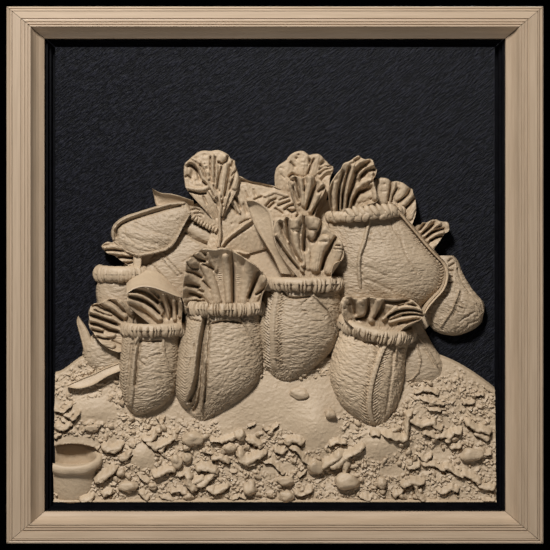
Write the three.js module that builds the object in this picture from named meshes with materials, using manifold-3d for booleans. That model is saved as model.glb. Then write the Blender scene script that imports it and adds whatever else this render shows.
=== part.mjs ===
// A square framed wall plaque: a moulded tan frame, a black stepped slip, a dark panel, and on the panel one
// cast relief of a clump of pitcher plants growing in gravelly soil, with a small empty pot.
// Millimetres. +X is to the right and +Z is up. The wall is the plane y = 0, and the plaque faces -Y.
// The origin is the centre of the back of the backing board, which lies on the wall.

import * as THREE from "three";
import { mergeVertices } from "three/addons/utils/BufferGeometryUtils.js";
import Module from "manifold-3d";

const wasm = await Module();
wasm.setup();

// Frame
const FRAME_SIDE = 300;
const SIDE_RAIL_WIDTH = 20.4;
const END_RAIL_WIDTH = 17;
const MOULDING_WIDTH = 19.9;
const RAIL_DEPTH = 34;
const LIP_WIDTH = 6;
const LIP_BACK = 22;
const BEVEL_DROP = 8.5;
const SCREW_LEDGE = 4.5;
const GAP = 0.3;

// Boards and slip
const BOARD_THICKNESS = 3.2;
const PANEL_BACK = 3.5;
const PANEL_FRONT = 10;
const SIDE_SLIP_SHOWS = 4.6;
const END_SLIP_SHOWS = 3.4;

// Fixings
const SCREW_HEAD_RADIUS = 2;
const SCREW_SHANK_RADIUS = 0.9;
const SCREW_LENGTH = 10;
const SCREW_SPREAD = 100;
const HANGER_LENGTH = 28;
const HANGER_HEIGHT = 5;
const HANGER_THICKNESS = 0.9;
const HANGER_HOUSING_DEPTH = 3.6;
const TOOTH_PITCH = 1.6;
const TOOTH_DEPTH = 0.9;
const NAIL_SPREAD = 12;

// Relief: heights are measured forward from the front of the panel
const RELIEF_HALF_WIDTH = 124.4;
const RELIEF_BOTTOM = -127.5;
const RELIEF_TOP = 100;
const RELIEF_REACH = 30;
const ROOT_DEPTH = -2;
const UNDERCUT = 0.94;

const TAN = new THREE.MeshStandardMaterial({ color: 0xb49d82, roughness: 0.6, metalness: 0 });
const CLAY = new THREE.MeshStandardMaterial({ color: 0xb39a7c, roughness: 0.75, metalness: 0 });
const BLACK = new THREE.MeshStandardMaterial({ color: 0x08080a, roughness: 0.5, metalness: 0 });
const NAVY_BLACK = new THREE.MeshStandardMaterial({ color: 0x1d1c22, roughness: 0.6, metalness: 0 });
const BROWN_BOARD = new THREE.MeshStandardMaterial({ color: 0x6b4f36, roughness: 0.85, metalness: 0 });
const STEEL = new THREE.MeshStandardMaterial({ color: 0xb8b8b4, roughness: 0.35, metalness: 1 });

const plaque = new THREE.Group();

function place(name, geometry, material) {
  const mesh = new THREE.Mesh(geometry, material);
  mesh.name = name;
  plaque.add(mesh);
  return mesh;
}

// Solids

function solidOf(geometry) {
  const bare = geometry.clone();
  bare.deleteAttribute("normal");
  bare.deleteAttribute("uv");
  const merged = mergeVertices(bare, 1e-4);
  return new wasm.Manifold(new wasm.Mesh({
    numProp: 3,
    vertProperties: new Float32Array(merged.attributes.position.array),
    triVerts: new Uint32Array(merged.index.array),
  }));
}

function geometryOf(solid) {
  const mesh = solid.getMesh();
  const geometry = new THREE.BufferGeometry();
  geometry.setAttribute("position", new THREE.BufferAttribute(new Float32Array(mesh.vertProperties), 3));
  geometry.setIndex(new THREE.BufferAttribute(new Uint32Array(mesh.triVerts), 1));
  geometry.computeVertexNormals();
  return geometry;
}

function boxSolid(low, high) {
  const box = new THREE.BoxGeometry(high[0] - low[0], high[1] - low[1], high[2] - low[2]);
  box.translate((low[0] + high[0]) / 2, (low[1] + high[1]) / 2, (low[2] + high[2]) / 2);
  return solidOf(box);
}

// Skins a closed solid over rings of equal length, and closes each end to the ring's middle.
function loft(rings) {
  const count = rings[0].length;
  const points = rings.flat();
  const triangles = [];
  for (let row = 0; row < rings.length - 1; row++) {
    for (let i = 0; i < count; i++) {
      const a = row * count + i;
      const b = row * count + ((i + 1) % count);
      triangles.push(a, b, b + count, a, b + count, a + count);
    }
  }
  for (const [row, turn] of [[0, 1], [rings.length - 1, -1]]) {
    const middle = points.length;
    const sum = new THREE.Vector3();
    rings[row].forEach((point) => sum.add(point));
    points.push(sum.divideScalar(count));
    for (let i = 0; i < count; i++) {
      const a = row * count + i;
      const b = row * count + ((i + 1) % count);
      triangles.push(...(turn > 0 ? [middle, b, a] : [middle, a, b]));
    }
  }
  const geometry = new THREE.BufferGeometry().setFromPoints(points);
  geometry.setIndex(outward(points, triangles));
  return solidOf(geometry);
}

// Turns a closed skin's triangles to face outwards.
function outward(points, triangles) {
  let volume = 0;
  const across = new THREE.Vector3();
  for (let i = 0; i < triangles.length; i += 3) {
    across.crossVectors(points[triangles[i + 1]], points[triangles[i + 2]]);
    volume += points[triangles[i]].dot(across);
  }
  return volume > 0 ? triangles : triangles.reverse();
}

// Frame rails

// The outline of a rail's section: in from the outer edge, and forward from the wall. The moulded part's
// measures hold for a rail of MOULDING_WIDTH and stretch with the width, so that they meet at the mitres.
function railOutline(width) {
  const scale = width / MOULDING_WIDTH;
  const rebate = width - LIP_WIDTH;
  const ledge = rebate - SCREW_LEDGE;
  const face = RAIL_DEPTH;
  const outline = new THREE.Shape();
  outline.moveTo(0, 0);
  outline.lineTo(ledge, 0);
  outline.lineTo(ledge, PANEL_BACK);
  outline.lineTo(rebate, PANEL_BACK);
  outline.lineTo(rebate, LIP_BACK);
  outline.lineTo(width, LIP_BACK);
  outline.lineTo(width, face - BEVEL_DROP);
  outline.lineTo(0.945 * width, face - BEVEL_DROP + 0.9);
  outline.quadraticCurveTo(0.77 * width, face - 5.6, 13.6 * scale, face - 0.9);
  for (const middle of [12.9, 11.3, 9.6]) {
    reed(outline, middle * scale, 0.65 * scale, face);
  }
  outline.lineTo(8.2 * scale, face - 0.8);
  outline.lineTo(7.9 * scale, face - 0.1);
  outline.lineTo(3.5 * scale, face - 0.1);
  reed(outline, 2.8 * scale, 0.45 * scale, face);
  outline.lineTo(1.9 * scale, face - 0.9);
  outline.quadraticCurveTo(1.2 * scale, face + 0.1, 0.6 * scale, face - 0.6);
  outline.quadraticCurveTo(0, face - 1, 0, face - 2.2);
  outline.closePath();
  return outline;
}

// A small half-round ridge between two shallow grooves.
function reed(outline, middle, half, face) {
  outline.lineTo(middle + half, face - 0.7);
  outline.lineTo(middle + half * 0.6, face - 0.1);
  outline.lineTo(middle - half * 0.6, face - 0.1);
  outline.lineTo(middle - half, face - 0.7);
}

// A length of moulding above the middle of the frame, with its ends slid back along the mitres.
function mouldingGeometry(outline, reach, mitre, gap) {
  const geometry = new THREE.ExtrudeGeometry(outline, { depth: 1, bevelEnabled: false, curveSegments: 4 });
  const position = geometry.attributes.position;
  for (let i = 0; i < position.count; i++) {
    const inward = position.getX(i);
    const forward = position.getY(i);
    const end = position.getZ(i) > 0.5 ? -1 : 1;
    position.setXYZ(i, end * (FRAME_SIDE / 2 - inward * mitre - gap / 2), -forward, reach - inward);
  }
  return geometry;
}

const END_RAIL = { width: END_RAIL_WIDTH, shows: END_SLIP_SHOWS, mitre: SIDE_RAIL_WIDTH / END_RAIL_WIDTH };
const SIDE_RAIL = { width: SIDE_RAIL_WIDTH, shows: SIDE_SLIP_SHOWS, mitre: END_RAIL_WIDTH / SIDE_RAIL_WIDTH };
const RAILS = [
  { side: "top", turn: 0, ...END_RAIL },
  { side: "right", turn: 1, ...SIDE_RAIL },
  { side: "bottom", turn: 2, ...END_RAIL },
  { side: "left", turn: 3, ...SIDE_RAIL },
];

// The outline of the black slip: a fillet behind the rail's lip that steps down to the panel.
function slipOutline(rail) {
  const outer = rail.width - LIP_WIDTH + GAP;
  const inner = rail.width + rail.shows;
  const back = PANEL_FRONT + GAP;
  const front = LIP_BACK - GAP;
  const tread = rail.shows / 3;
  const outline = new THREE.Shape();
  outline.moveTo(outer, back);
  outline.lineTo(inner, back);
  outline.lineTo(inner, back + 3.4);
  outline.lineTo(inner - tread, back + 3.4);
  outline.lineTo(inner - tread, back + 7.4);
  outline.lineTo(inner - 2 * tread, back + 7.4);
  outline.lineTo(inner - 2 * tread, front);
  outline.lineTo(outer, front);
  outline.closePath();
  return outline;
}

// Slips meet on the line from the rebate's corner to the sight corner.
function slipGeometry(rail) {
  const neighbour = rail.width === SIDE_RAIL_WIDTH ? END_RAIL : SIDE_RAIL;
  const sight = neighbour.width + neighbour.shows;
  const slope = (sight - otherRebate(rail)) / (rail.shows + LIP_WIDTH - GAP);
  const geometry = new THREE.ExtrudeGeometry(slipOutline(rail), { depth: 1, bevelEnabled: false });
  const position = geometry.attributes.position;
  for (let i = 0; i < position.count; i++) {
    const inward = position.getX(i);
    const along = otherRebate(rail) + (inward - (rail.width - LIP_WIDTH + GAP)) * slope;
    const end = position.getZ(i) > 0.5 ? -1 : 1;
    position.setXYZ(i, end * (FRAME_SIDE / 2 - along - GAP / 2), -position.getY(i), FRAME_SIDE / 2 - inward);
  }
  return geometry;
}

// How far in from the outer edge the rebate of the neighbouring rails begins.
function otherRebate(rail) {
  return (rail.width === SIDE_RAIL_WIDTH ? END_RAIL_WIDTH : SIDE_RAIL_WIDTH) - LIP_WIDTH + GAP;
}

// Screws: two through each edge of the backing board
const SCREWS = [];
for (const rail of RAILS) {
  const reach = FRAME_SIDE / 2 - (rail.width - LIP_WIDTH - SCREW_LEDGE / 2);
  for (const offset of [-SCREW_SPREAD, SCREW_SPREAD]) {
    const spot = new THREE.Vector3(offset, 0, reach);
    spot.applyAxisAngle(new THREE.Vector3(0, 1, 0), (rail.turn * Math.PI) / 2);
    SCREWS.push(spot);
  }
}

// A countersunk screw, or with a clearance its hole, turned about the -Y axis.
function screwGeometry(clearance) {
  const head = SCREW_HEAD_RADIUS + clearance;
  const shank = SCREW_SHANK_RADIUS + clearance;
  const top = clearance > 0 ? 1 : -0.1;
  const profile = [
    new THREE.Vector2(0, top),
    new THREE.Vector2(head, top),
    new THREE.Vector2(head, -0.5),
    new THREE.Vector2(shank, -0.5 - (head - shank)),
    new THREE.Vector2(shank, -SCREW_LENGTH + 1.5),
    new THREE.Vector2(0, -SCREW_LENGTH - clearance),
  ];
  return new THREE.LatheGeometry(profile.reverse(), 12);
}

function nailGeometry(clearance) {
  const floor = -HANGER_HOUSING_DEPTH + HANGER_THICKNESS + GAP;
  const profile = clearance > 0
    ? [[0, -12.5], [0.7 + clearance, -11], [0.7 + clearance, 0.5], [0, 0.5]]
    : [[0, -12], [0.7, -11], [0.7, floor + GAP], [1.4, floor + GAP], [1.2, floor + 1], [0, floor + 1.2]];
  return new THREE.LatheGeometry(profile.map(([radius, depth]) => new THREE.Vector2(radius, depth)), 10);
}

// Frame, slip, boards and fixings

const HANGER_Z = FRAME_SIDE / 2 - 0.6 - HANGER_HEIGHT / 2;

function railSolid(rail) {
  const moulding = mouldingGeometry(railOutline(rail.width), FRAME_SIDE / 2, rail.mitre, GAP);
  moulding.rotateY((rail.turn * Math.PI) / 2);
  let solid = solidOf(moulding);
  for (const spot of SCREWS) {
    solid = solid.subtract(solidOf(screwGeometry(GAP).translate(spot.x, 0, spot.z)));
  }
  if (rail.side === "top") {
    const half = HANGER_LENGTH / 2 + GAP;
    const low = [-half, -HANGER_HOUSING_DEPTH, HANGER_Z - HANGER_HEIGHT / 2 - GAP];
    solid = solid.subtract(boxSolid(low, [half, 1, HANGER_Z + HANGER_HEIGHT / 2 + GAP]));
    for (const x of [-NAIL_SPREAD, NAIL_SPREAD]) {
      solid = solid.subtract(solidOf(nailGeometry(GAP).translate(x, 0, HANGER_Z)));
    }
  }
  return solid;
}

for (const rail of RAILS) {
  place(`frame_rail_${rail.side}`, geometryOf(railSolid(rail)), TAN);
  const slip = slipGeometry(rail);
  slip.rotateY((rail.turn * Math.PI) / 2);
  place(`slip_${rail.side}`, geometryOf(solidOf(slip)), BLACK);
}

function boardSolid(halfWidth, halfHeight, back, front) {
  return boxSolid([-halfWidth, -front, -halfHeight], [halfWidth, -back, halfHeight]);
}

const REBATE_HALF_WIDTH = FRAME_SIDE / 2 - SIDE_RAIL_WIDTH + LIP_WIDTH - GAP;
const REBATE_HALF_HEIGHT = FRAME_SIDE / 2 - END_RAIL_WIDTH + LIP_WIDTH - GAP;

const panel = boardSolid(REBATE_HALF_WIDTH, REBATE_HALF_HEIGHT, PANEL_BACK, PANEL_FRONT);
place("panel", geometryOf(panel), NAVY_BLACK);

function backingBoard() {
  const halfWidth = REBATE_HALF_WIDTH + SCREW_LEDGE;
  const halfHeight = REBATE_HALF_HEIGHT + SCREW_LEDGE;
  let board = boardSolid(halfWidth, halfHeight, 0, BOARD_THICKNESS);
  for (const spot of SCREWS) {
    board = board.subtract(solidOf(screwGeometry(GAP).translate(spot.x, 0, spot.z)));
  }
  return board;
}

place("backing_board", geometryOf(backingBoard()), BROWN_BOARD);

SCREWS.forEach((spot, index) => {
  place(`backing_screw_${index + 1}`, screwGeometry(0).translate(spot.x, 0, spot.z), STEEL);
});

// A steel strip bent so that its toothed middle stands off the rail, where a wall nail hooks under it.
function hangerSolid() {
  const half = HANGER_LENGTH / 2;
  const foot = -HANGER_HOUSING_DEPTH + GAP;
  const thick = HANGER_THICKNESS;
  const raise = HANGER_HOUSING_DEPTH - 2 * GAP - thick;
  const strip = new THREE.Shape();
  strip.moveTo(-half, foot);
  strip.lineTo(-half + 4.4, foot);
  strip.lineTo(-half + 5.6, foot + raise);
  strip.lineTo(half - 5.6, foot + raise);
  strip.lineTo(half - 4.4, foot);
  strip.lineTo(half, foot);
  strip.lineTo(half, foot + thick);
  strip.lineTo(half - 3.9, foot + thick);
  strip.lineTo(half - 5.1, foot + raise + thick);
  strip.lineTo(-half + 5.1, foot + raise + thick);
  strip.lineTo(-half + 3.9, foot + thick);
  strip.lineTo(-half, foot + thick);
  strip.closePath();
  const bent = new THREE.ExtrudeGeometry(strip, { depth: HANGER_HEIGHT, bevelEnabled: false });
  bent.translate(0, 0, HANGER_Z - HANGER_HEIGHT / 2);
  let solid = solidOf(bent);
  for (let tooth = -4; tooth <= 4; tooth++) {
    const notch = new THREE.CylinderGeometry(TOOTH_DEPTH, TOOTH_DEPTH, 6, 4);
    notch.translate(tooth * TOOTH_PITCH, 0, HANGER_Z - HANGER_HEIGHT / 2);
    solid = solid.subtract(solidOf(notch));
  }
  for (const x of [-NAIL_SPREAD, NAIL_SPREAD]) {
    solid = solid.subtract(solidOf(nailGeometry(GAP).translate(x, 0, HANGER_Z)));
  }
  return solid;
}

place("hanger", geometryOf(hangerSolid()), STEEL);
place("hanger_nail_left", nailGeometry(0).translate(-NAIL_SPREAD, 0, HANGER_Z), STEEL);
place("hanger_nail_right", nailGeometry(0).translate(NAIL_SPREAD, 0, HANGER_Z), STEEL);

// Relief

// A point of the relief, from its place on the panel and its height off it.
function onPanel(x, z, height) {
  return new THREE.Vector3(x, -PANEL_FRONT - height, z);
}

function blend(from, to, share) {
  return from + (to - from) * share;
}

// A repeatable stream of numbers from 0 to 1.
function drawsFrom(seed) {
  let state = seed;
  return () => {
    state = (state * 1664525 + 1013904223) % 4294967296;
    return state / 4294967296;
  };
}

// Each pitcher runs from its mouth to its foot. Level is the height of its widest line off the panel, and
// swell is how far its front bulges beyond that. A slope turns the line across its mouth, in degrees.
const PITCHERS = {
  front_left: {
    mouth: [-67.5, -31.5], foot: [-75.5, -78], mouthHalf: 15, bellyHalf: 16.5, level: 12, swell: 11,
  },
  front_middle: {
    mouth: [-26.5, -20], foot: [-38, -84], mouthHalf: 22.5, bellyHalf: 26, level: 12, swell: 12,
  },
  centre: { mouth: [17, -5.5], foot: [10, -60.5], mouthHalf: 20.5, bellyHalf: 23.5, level: 9, swell: 13 },
  front_right: {
    mouth: [58, -31], foot: [56, -86], mouthHalf: 20, bellyHalf: 21.5, level: 12, swell: 12, slope: -12,
  },
  right: { mouth: [50, 34.5], foot: [86, -16], mouthHalf: 19, bellyHalf: 25, level: 5, swell: 13, slope: 5 },
  right_fold: { mouth: [44, 32], foot: [54, -26], mouthHalf: 14, bellyHalf: 18, level: 4, swell: 11 },
  back_left: {
    mouth: [-43, 28], foot: [-91, 21], mouthHalf: 9, bellyHalf: 13.5, level: 4, swell: 10, slope: -45,
  },
  back_left_low: { mouth: [-36, 30], foot: [-54, -20], mouthHalf: 14, bellyHalf: 24, level: 2, swell: 9 },
  back_middle: {
    mouth: [8.5, 41], foot: [-30, 25], mouthHalf: 12, bellyHalf: 19, level: 3, swell: 9, slope: -20,
  },
  far_right: {
    mouth: [98, 9], foot: [105, -34.5], mouthHalf: 6, bellyHalf: 17.5, level: 3, swell: 9, bellyAt: 0.7,
  },
  right_low: {
    mouth: [77, -26], foot: [85, -61.5], mouthHalf: 6, bellyHalf: 12, level: 5, swell: 8, bellyAt: 0.7,
  },
  left_small: { mouth: [-88, 1], foot: [-88, -24], mouthHalf: 11.5, bellyHalf: 13, level: 3, swell: 8 },
  far_left: { mouth: [-92, -32], foot: [-102, -56], mouthHalf: 8, bellyHalf: 11, level: 5, swell: 6 },
};

const MOUTH_PINCH = 0.92;

// The place of a pitcher's middle line, its side direction and half-width, at a share of the way to the foot.
function stationOf(pitcher, share) {
  const { mouth, foot, mouthHalf, bellyHalf, bellyAt = 0.55, slope } = pitcher;
  const down = new THREE.Vector2(foot[0] - mouth[0], foot[1] - mouth[1]).normalize();
  const side = new THREE.Vector2(-down.y, down.x);
  if (slope !== undefined) {
    const turn = THREE.MathUtils.degToRad(slope) - side.angle();
    const ease = 1 - THREE.MathUtils.smoothstep(share, 0, 0.5);
    side.rotateAround(new THREE.Vector2(), Math.atan2(Math.sin(turn), Math.cos(turn)) * ease);
  }
  const opening = blend(mouthHalf, bellyHalf, Math.sin((Math.min(share / bellyAt, 1) * Math.PI) / 2));
  const closing = Math.max((share - bellyAt) / (1 - bellyAt), 0);
  return {
    middle: new THREE.Vector2(blend(mouth[0], foot[0], share), blend(mouth[1], foot[1], share)),
    down,
    side,
    half: opening * Math.sqrt(1 - closing ** 2),
  };
}

// A point on a pitcher's front, from -1 at its left edge to 1 at its right, raised off the skin.
function onPitcher(pitcher, share, across, raise) {
  const station = stationOf(pitcher, share);
  const bulge = pitcher.swell * Math.sqrt(station.half / pitcher.bellyHalf);
  const angle = Math.acos(THREE.MathUtils.clamp(across, -1, 1));
  const reach = station.half + raise;
  const x = station.middle.x + station.side.x * reach * Math.cos(angle);
  const z = station.middle.y + station.side.y * reach * Math.cos(angle);
  return onPanel(x, z, pitcher.level + (bulge + raise) * Math.sin(angle));
}

// Closes a row of front points into a ring whose back runs under the panel's face, drawn in a little.
function ringDown(front, middle, undercut = UNDERCUT) {
  const ends = [front[front.length - 1], front[0]];
  const back = ends.map((end) => onPanel(
    blend(middle.x, end.x, undercut),
    blend(middle.y, end.z, undercut),
    ROOT_DEPTH,
  ));
  return [...front, ...back];
}

function pitcherBody(pitcher) {
  const rings = [];
  for (const share of [0, 0.24, 0.5, 0.7, 0.85, 0.95, 0.997]) {
    const front = [];
    const steps = 7;
    for (let i = 0; i <= steps; i++) {
      front.push(onPitcher(pitcher, share, Math.cos(Math.PI * (1 - i / steps)), 0));
    }
    rings.push(ringDown(front, stationOf(pitcher, share).middle));
  }
  return loft(rings);
}

// The ribbed roll round the front of a mouth.
function rim(pitcher, ribs, thick) {
  const rings = [];
  const steps = ribs * 2;
  const station = stationOf(pitcher, 0);
  for (let i = 0; i <= steps; i++) {
    const angle = Math.PI * (1.04 - (1.08 * i) / steps);
    const fat = thick * (i % 2 === 0 ? 1 : 0.78);
    const reach = station.half + 0.6;
    const bulge = pitcher.swell * MOUTH_PINCH + 0.8;
    const ring = [];
    for (let corner = 0; corner < 5; corner++) {
      const round = (corner / 5) * Math.PI * 2;
      const out = fat * Math.cos(round);
      const along = fat * 1.35 * Math.sin(round);
      const across = (reach + out) * Math.cos(angle);
      const x = station.middle.x + station.side.x * across + station.down.x * along;
      const z = station.middle.y + station.side.y * across + station.down.y * along;
      ring.push(onPanel(x, z, pitcher.level + (bulge + out) * Math.sin(angle)));
    }
    rings.push(ring);
  }
  return loft(rings);
}

const RIMS = [
  { on: "front_left", ribs: 7, thick: 2.7 },
  { on: "front_middle", ribs: 9, thick: 2.9 },
  { on: "centre", ribs: 9, thick: 2.9 },
  { on: "front_right", ribs: 8, thick: 2.9 },
  { on: "right", ribs: 7, thick: 2.6 },
  { on: "back_left", ribs: 5, thick: 1.8 },
  { on: "back_middle", ribs: 5, thick: 2.4 },
  { on: "far_right", ribs: 3, thick: 1.8 },
  { on: "left_small", ribs: 4, thick: 1.6 },
];

// Ribs that run down a pitcher from one place to another, given as a share of its length and a place across.
// A ladder rib is stepped, as if crossed by short bars.
const RIBS = [
  { on: "front_left", from: [0.1, -0.5], to: [0.93, -0.6], half: 2.2, proud: 2.2, ladder: true },
  { on: "front_left", from: [0.04, 0.55], to: [0.5, 0.9], half: 0.9, proud: 1 },
  { on: "front_middle", from: [0.02, -0.36], to: [0.9, -0.66], half: 2.6, proud: 2.6, ladder: true },
  { on: "front_middle", from: [0.06, 0.36], to: [0.5, 0.95], half: 0.8, proud: 1 },
  { on: "centre", from: [0.08, -0.62], to: [0.88, -0.62], half: 2, proud: 1.6, ladder: true },
  { on: "centre", from: [0.08, 0.28], to: [0.56, 0.95], half: 0.8, proud: 1 },
  { on: "front_right", from: [0.1, 0.52], to: [0.96, 0.1], half: 1.3, proud: 1.6 },
  { on: "right", from: [0.05, 0.9], to: [0.97, 0.85], half: 2, proud: 2, ladder: true },
  { on: "right", from: [0.04, 0.2], to: [0.5, -0.62], half: 1.1, proud: 1.4 },
  { on: "back_left", from: [0.02, 0.86], to: [0.97, 0.9], half: 1.6, proud: 2 },
  { on: "back_left", from: [0.06, -0.6], to: [0.9, -0.9], half: 1, proud: 1.4 },
  { on: "far_right", from: [0.1, 0.05], to: [0.9, -0.35], half: 1.2, proud: 1.2 },
  { on: "far_right", from: [0.06, 0.8], to: [0.9, 0.9], half: 1.6, proud: 1.4, ladder: true },
  { on: "right_low", from: [0.02, 0.3], to: [0.85, 0.7], half: 0.9, proud: 1 },
];

const RIB_ROOT = 1.2;
const CREST_SHARE = 0.6;

function ribSolid({ on, from, to, half, proud, ladder }) {
  const pitcher = PITCHERS[on];
  const rings = [];
  const steps = ladder ? 8 : 4;
  for (let i = 0; i <= steps; i++) {
    const share = blend(from[0], to[0], i / steps);
    const across = blend(from[1], to[1], i / steps);
    const spread = half / Math.max(stationOf(pitcher, share).half, 4);
    const top = ladder && i % 2 === 1 ? proud * 0.55 : proud;
    const sides = [[-1, -RIB_ROOT], [-CREST_SHARE, top], [CREST_SHARE, top], [1, -RIB_ROOT]];
    rings.push(sides.map(([edge, raise]) => onPitcher(
      pitcher,
      share,
      THREE.MathUtils.clamp(across + edge * spread, -0.99, 0.99),
      raise,
    )));
  }
  return loft(rings);
}

// Lids are fluted fans that open from a root. Lift is how much the far edge stands up off the root's level,
// dip is how deep the middle sinks, and cup is how much the sides curl forward.
const LIDS = {
  front_left: {
    root: [-64, -27], tip: [-71.5, -6.6], half: 17, flutes: 7, level: 14, lift: 7, dip: 2, cup: 1,
  },
  front_middle: {
    root: [-24.5, -16], tip: [-29.5, 16], half: 24, flutes: 8, level: 15, lift: 7, dip: 3, cup: 1,
  },
  centre: { root: [17, 1], tip: [17.5, 33], half: 20, flutes: 7, level: 13, lift: 7, dip: 1.5, cup: 0 },
  front_right: {
    root: [59, -28], tip: [60, -12.3], half: 23, flutes: 8, level: 17, lift: 6, dip: 1.5, cup: 0,
  },
  right: { root: [40, 35], tip: [47.4, 67], half: 13.5, flutes: 6, level: 9, lift: 6, dip: 2, cup: 3 },
  right_back: {
    root: [64.5, 32], tip: [68.5, 53.5], half: 12.5, flutes: 5, level: 6, lift: 3, dip: 0, cup: -2,
  },
  back_middle: {
    root: [15.8, 35], tip: [15.8, 70], half: 17.5, flutes: 7, level: 6, lift: 4, dip: 0, cup: -2,
  },
  back_middle_fan: {
    root: [17.5, 37], tip: [17, 59.5], half: 10, flutes: 5, level: 12, lift: 5, dip: 1, cup: 0,
  },
  back_left: {
    root: [-30.6, 34], tip: [-35.5, 70.5], half: 15.5, flutes: 7, level: 9, lift: 3, dip: -2, cup: -2,
  },
  left_small: { root: [-79, 8], tip: [-99, 16.5], half: 6.5, flutes: 4, level: 6, lift: 1, dip: 0, cup: -1 },
  far_right: { root: [88.5, 14], tip: [93.5, 31], half: 8, flutes: 4, level: 6, lift: 2, dip: 0, cup: -1 },
  far_left: {
    root: [-82, -28], tip: [-106, -24], half: 15.5, flutes: 6, level: 9, lift: 5, dip: 0.5, cup: 0,
  },
};

const FAN_OPENING = THREE.MathUtils.degToRad(84);
const FAN_WIDEST = 0.62;

function lidSolid({ root, tip, half, flutes, level, lift, dip, cup }) {
  const forward = new THREE.Vector2(tip[0] - root[0], tip[1] - root[1]);
  const length = forward.length();
  forward.normalize();
  const side = new THREE.Vector2(forward.y, -forward.x);
  const rings = [];
  const columns = flutes * 2;
  for (let column = 0; column <= columns; column++) {
    const angle = blend(-FAN_OPENING, FAN_OPENING, column / columns);
    const crest = column % 2 === 0 ? -1 : 1;
    const reach = Math.sqrt(Math.cos(angle)) * (1 + 0.035 * crest);
    const spot = (share, height) => {
      const along = share * reach * Math.cos(angle) * length;
      const across = (share * reach * Math.sin(angle) * half) / FAN_WIDEST;
      const x = root[0] + forward.x * along + side.x * across;
      const z = root[1] + forward.y * along + side.y * across;
      return onPanel(x, z, height);
    };
    const ring = [0.1, 0.58, 1].map((share) => {
      const flute = crest * 1.1 * share * Math.min(length / 24, 1.2);
      const sink = dip * Math.sin(Math.PI * share);
      const curl = cup * Math.sin(angle) ** 2 * share;
      const roll = share === 1 ? 0.8 : 0;
      return spot(share, level + lift * share * reach - sink + curl + flute - roll);
    });
    ring.push(spot(UNDERCUT, ROOT_DEPTH), spot(0.08, ROOT_DEPTH));
    rings.push(ring);
  }
  return loft(rings);
}

// Leaves are plain blades with a raised middle.
const LEAVES = {
  tall: { base: [8, 0], tip: [-15.4, 41], half: 6, level: 17, lift: 2 },
  spoon: { base: [-83, -49], tip: [-117, -62.5], half: 5, level: 14, lift: 3 },
  slender: { base: [-102, -54], tip: [-110.7, -24], half: 5.5, level: 6, lift: 1 },
  blade: { base: [-47, 40], tip: [-69.5, 47.5], half: 5, level: 7, lift: 1 },
  roof: { base: [-50, -13], tip: [-85, 3], half: 6, level: 12, lift: 0 },
  wing: { base: [-32, 15], tip: [-12, 33], half: 3.5, level: 10, lift: 2 },
  slit: { base: [3, 3], tip: [-24, 17], half: 3.5, level: 14, lift: 2 },
};

function leafSolid({ base, tip, half, level, lift }) {
  const forward = new THREE.Vector2(tip[0] - base[0], tip[1] - base[1]);
  const side = new THREE.Vector2(-forward.y, forward.x).normalize();
  const rings = [];
  for (const share of [0, 0.25, 0.55, 0.82, 0.985]) {
    const width = half * Math.sqrt(Math.sin(Math.PI * blend(0.25, 1, share)));
    const middle = new THREE.Vector2(base[0] + forward.x * share, base[1] + forward.y * share);
    const height = level + lift * share;
    const front = [[-1, 0], [-0.1, 1.2], [1, 0.3]].map(([across, raise]) => onPanel(
      middle.x + side.x * width * across,
      middle.y + side.y * width * across,
      height + raise,
    ));
    rings.push(ringDown(front, middle, 0.6));
  }
  return loft(rings);
}

// The low mass behind the clump, which carries every stem and lid.
const MASS_HEIGHT = 4.5;
const MASS_OUTLINE = [
  [-96, -14], [-85, 7], [-70, 14], [-50, 38], [-22, 52], [0, 49], [32, 42], [70, 32], [84, 16], [96, -6],
  [90, -26], [82, -34], [90, -50], [90, -60], [-104, -60], [-103, -36],
];

function massSolid() {
  const outline = new THREE.Shape(MASS_OUTLINE.map(([x, z]) => new THREE.Vector2(x, z)));
  const mass = new THREE.ExtrudeGeometry(outline, { depth: MASS_HEIGHT - ROOT_DEPTH, bevelEnabled: false });
  mass.rotateX(Math.PI / 2);
  mass.translate(0, -PANEL_FRONT - ROOT_DEPTH, 0);
  return solidOf(mass);
}

// Soil

const SOIL_FRONT_HEIGHT = 15;
const SOIL_BACK_HEIGHT = 7;
const SOIL_LUMP = 2.6;
const SOIL_RIPPLE = 0.45;

// The soil's far edge: a low bank at the left, hidden behind the plants, then a long slope down at the right.
function soilEdge(x) {
  const left = -45 - 10 * THREE.MathUtils.smoothstep(-x, 106, 125);
  const right = -44 - 20 * ((Math.max(x - 88, 0) / 37) ** 1.5);
  return Math.min(left, right);
}

const MOUNDS = [
  { at: [22.5, -88], half: [12, 12], rise: 3.5 },
  { at: [59, -97.5], half: [12, 10], rise: 3 },
  { at: [-75, -103.5], half: [8, 9], rise: 3 },
  { at: [-98, -82], half: [12, 7], rise: 2 },
  { at: [-5, -72], half: [30, 16], rise: 2 },
  { at: [30, -112], half: [9, 7], rise: -2.5 },
  { at: [-115, -99], half: [13, 7], rise: -5 },
];

// How high the soil stands at a place, with mounds and a rough crumbled surface.
function soilHeight(x, z) {
  const up = THREE.MathUtils.clamp((z - RELIEF_BOTTOM) / (soilEdge(x) - RELIEF_BOTTOM), 0, 1);
  let height = blend(SOIL_FRONT_HEIGHT, SOIL_BACK_HEIGHT, up ** 1.3);
  for (const { at, half, rise } of MOUNDS) {
    const away = ((x - at[0]) / half[0]) ** 2 + ((z - at[1]) / half[1]) ** 2;
    height += rise * Math.exp(-away);
  }
  const ripple = Math.sin(x * 0.61 + 2 * Math.sin(z * 0.37)) * Math.cos(z * 0.53 + Math.sin(x * 0.29));
  return height + SOIL_RIPPLE * ripple;
}

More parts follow.
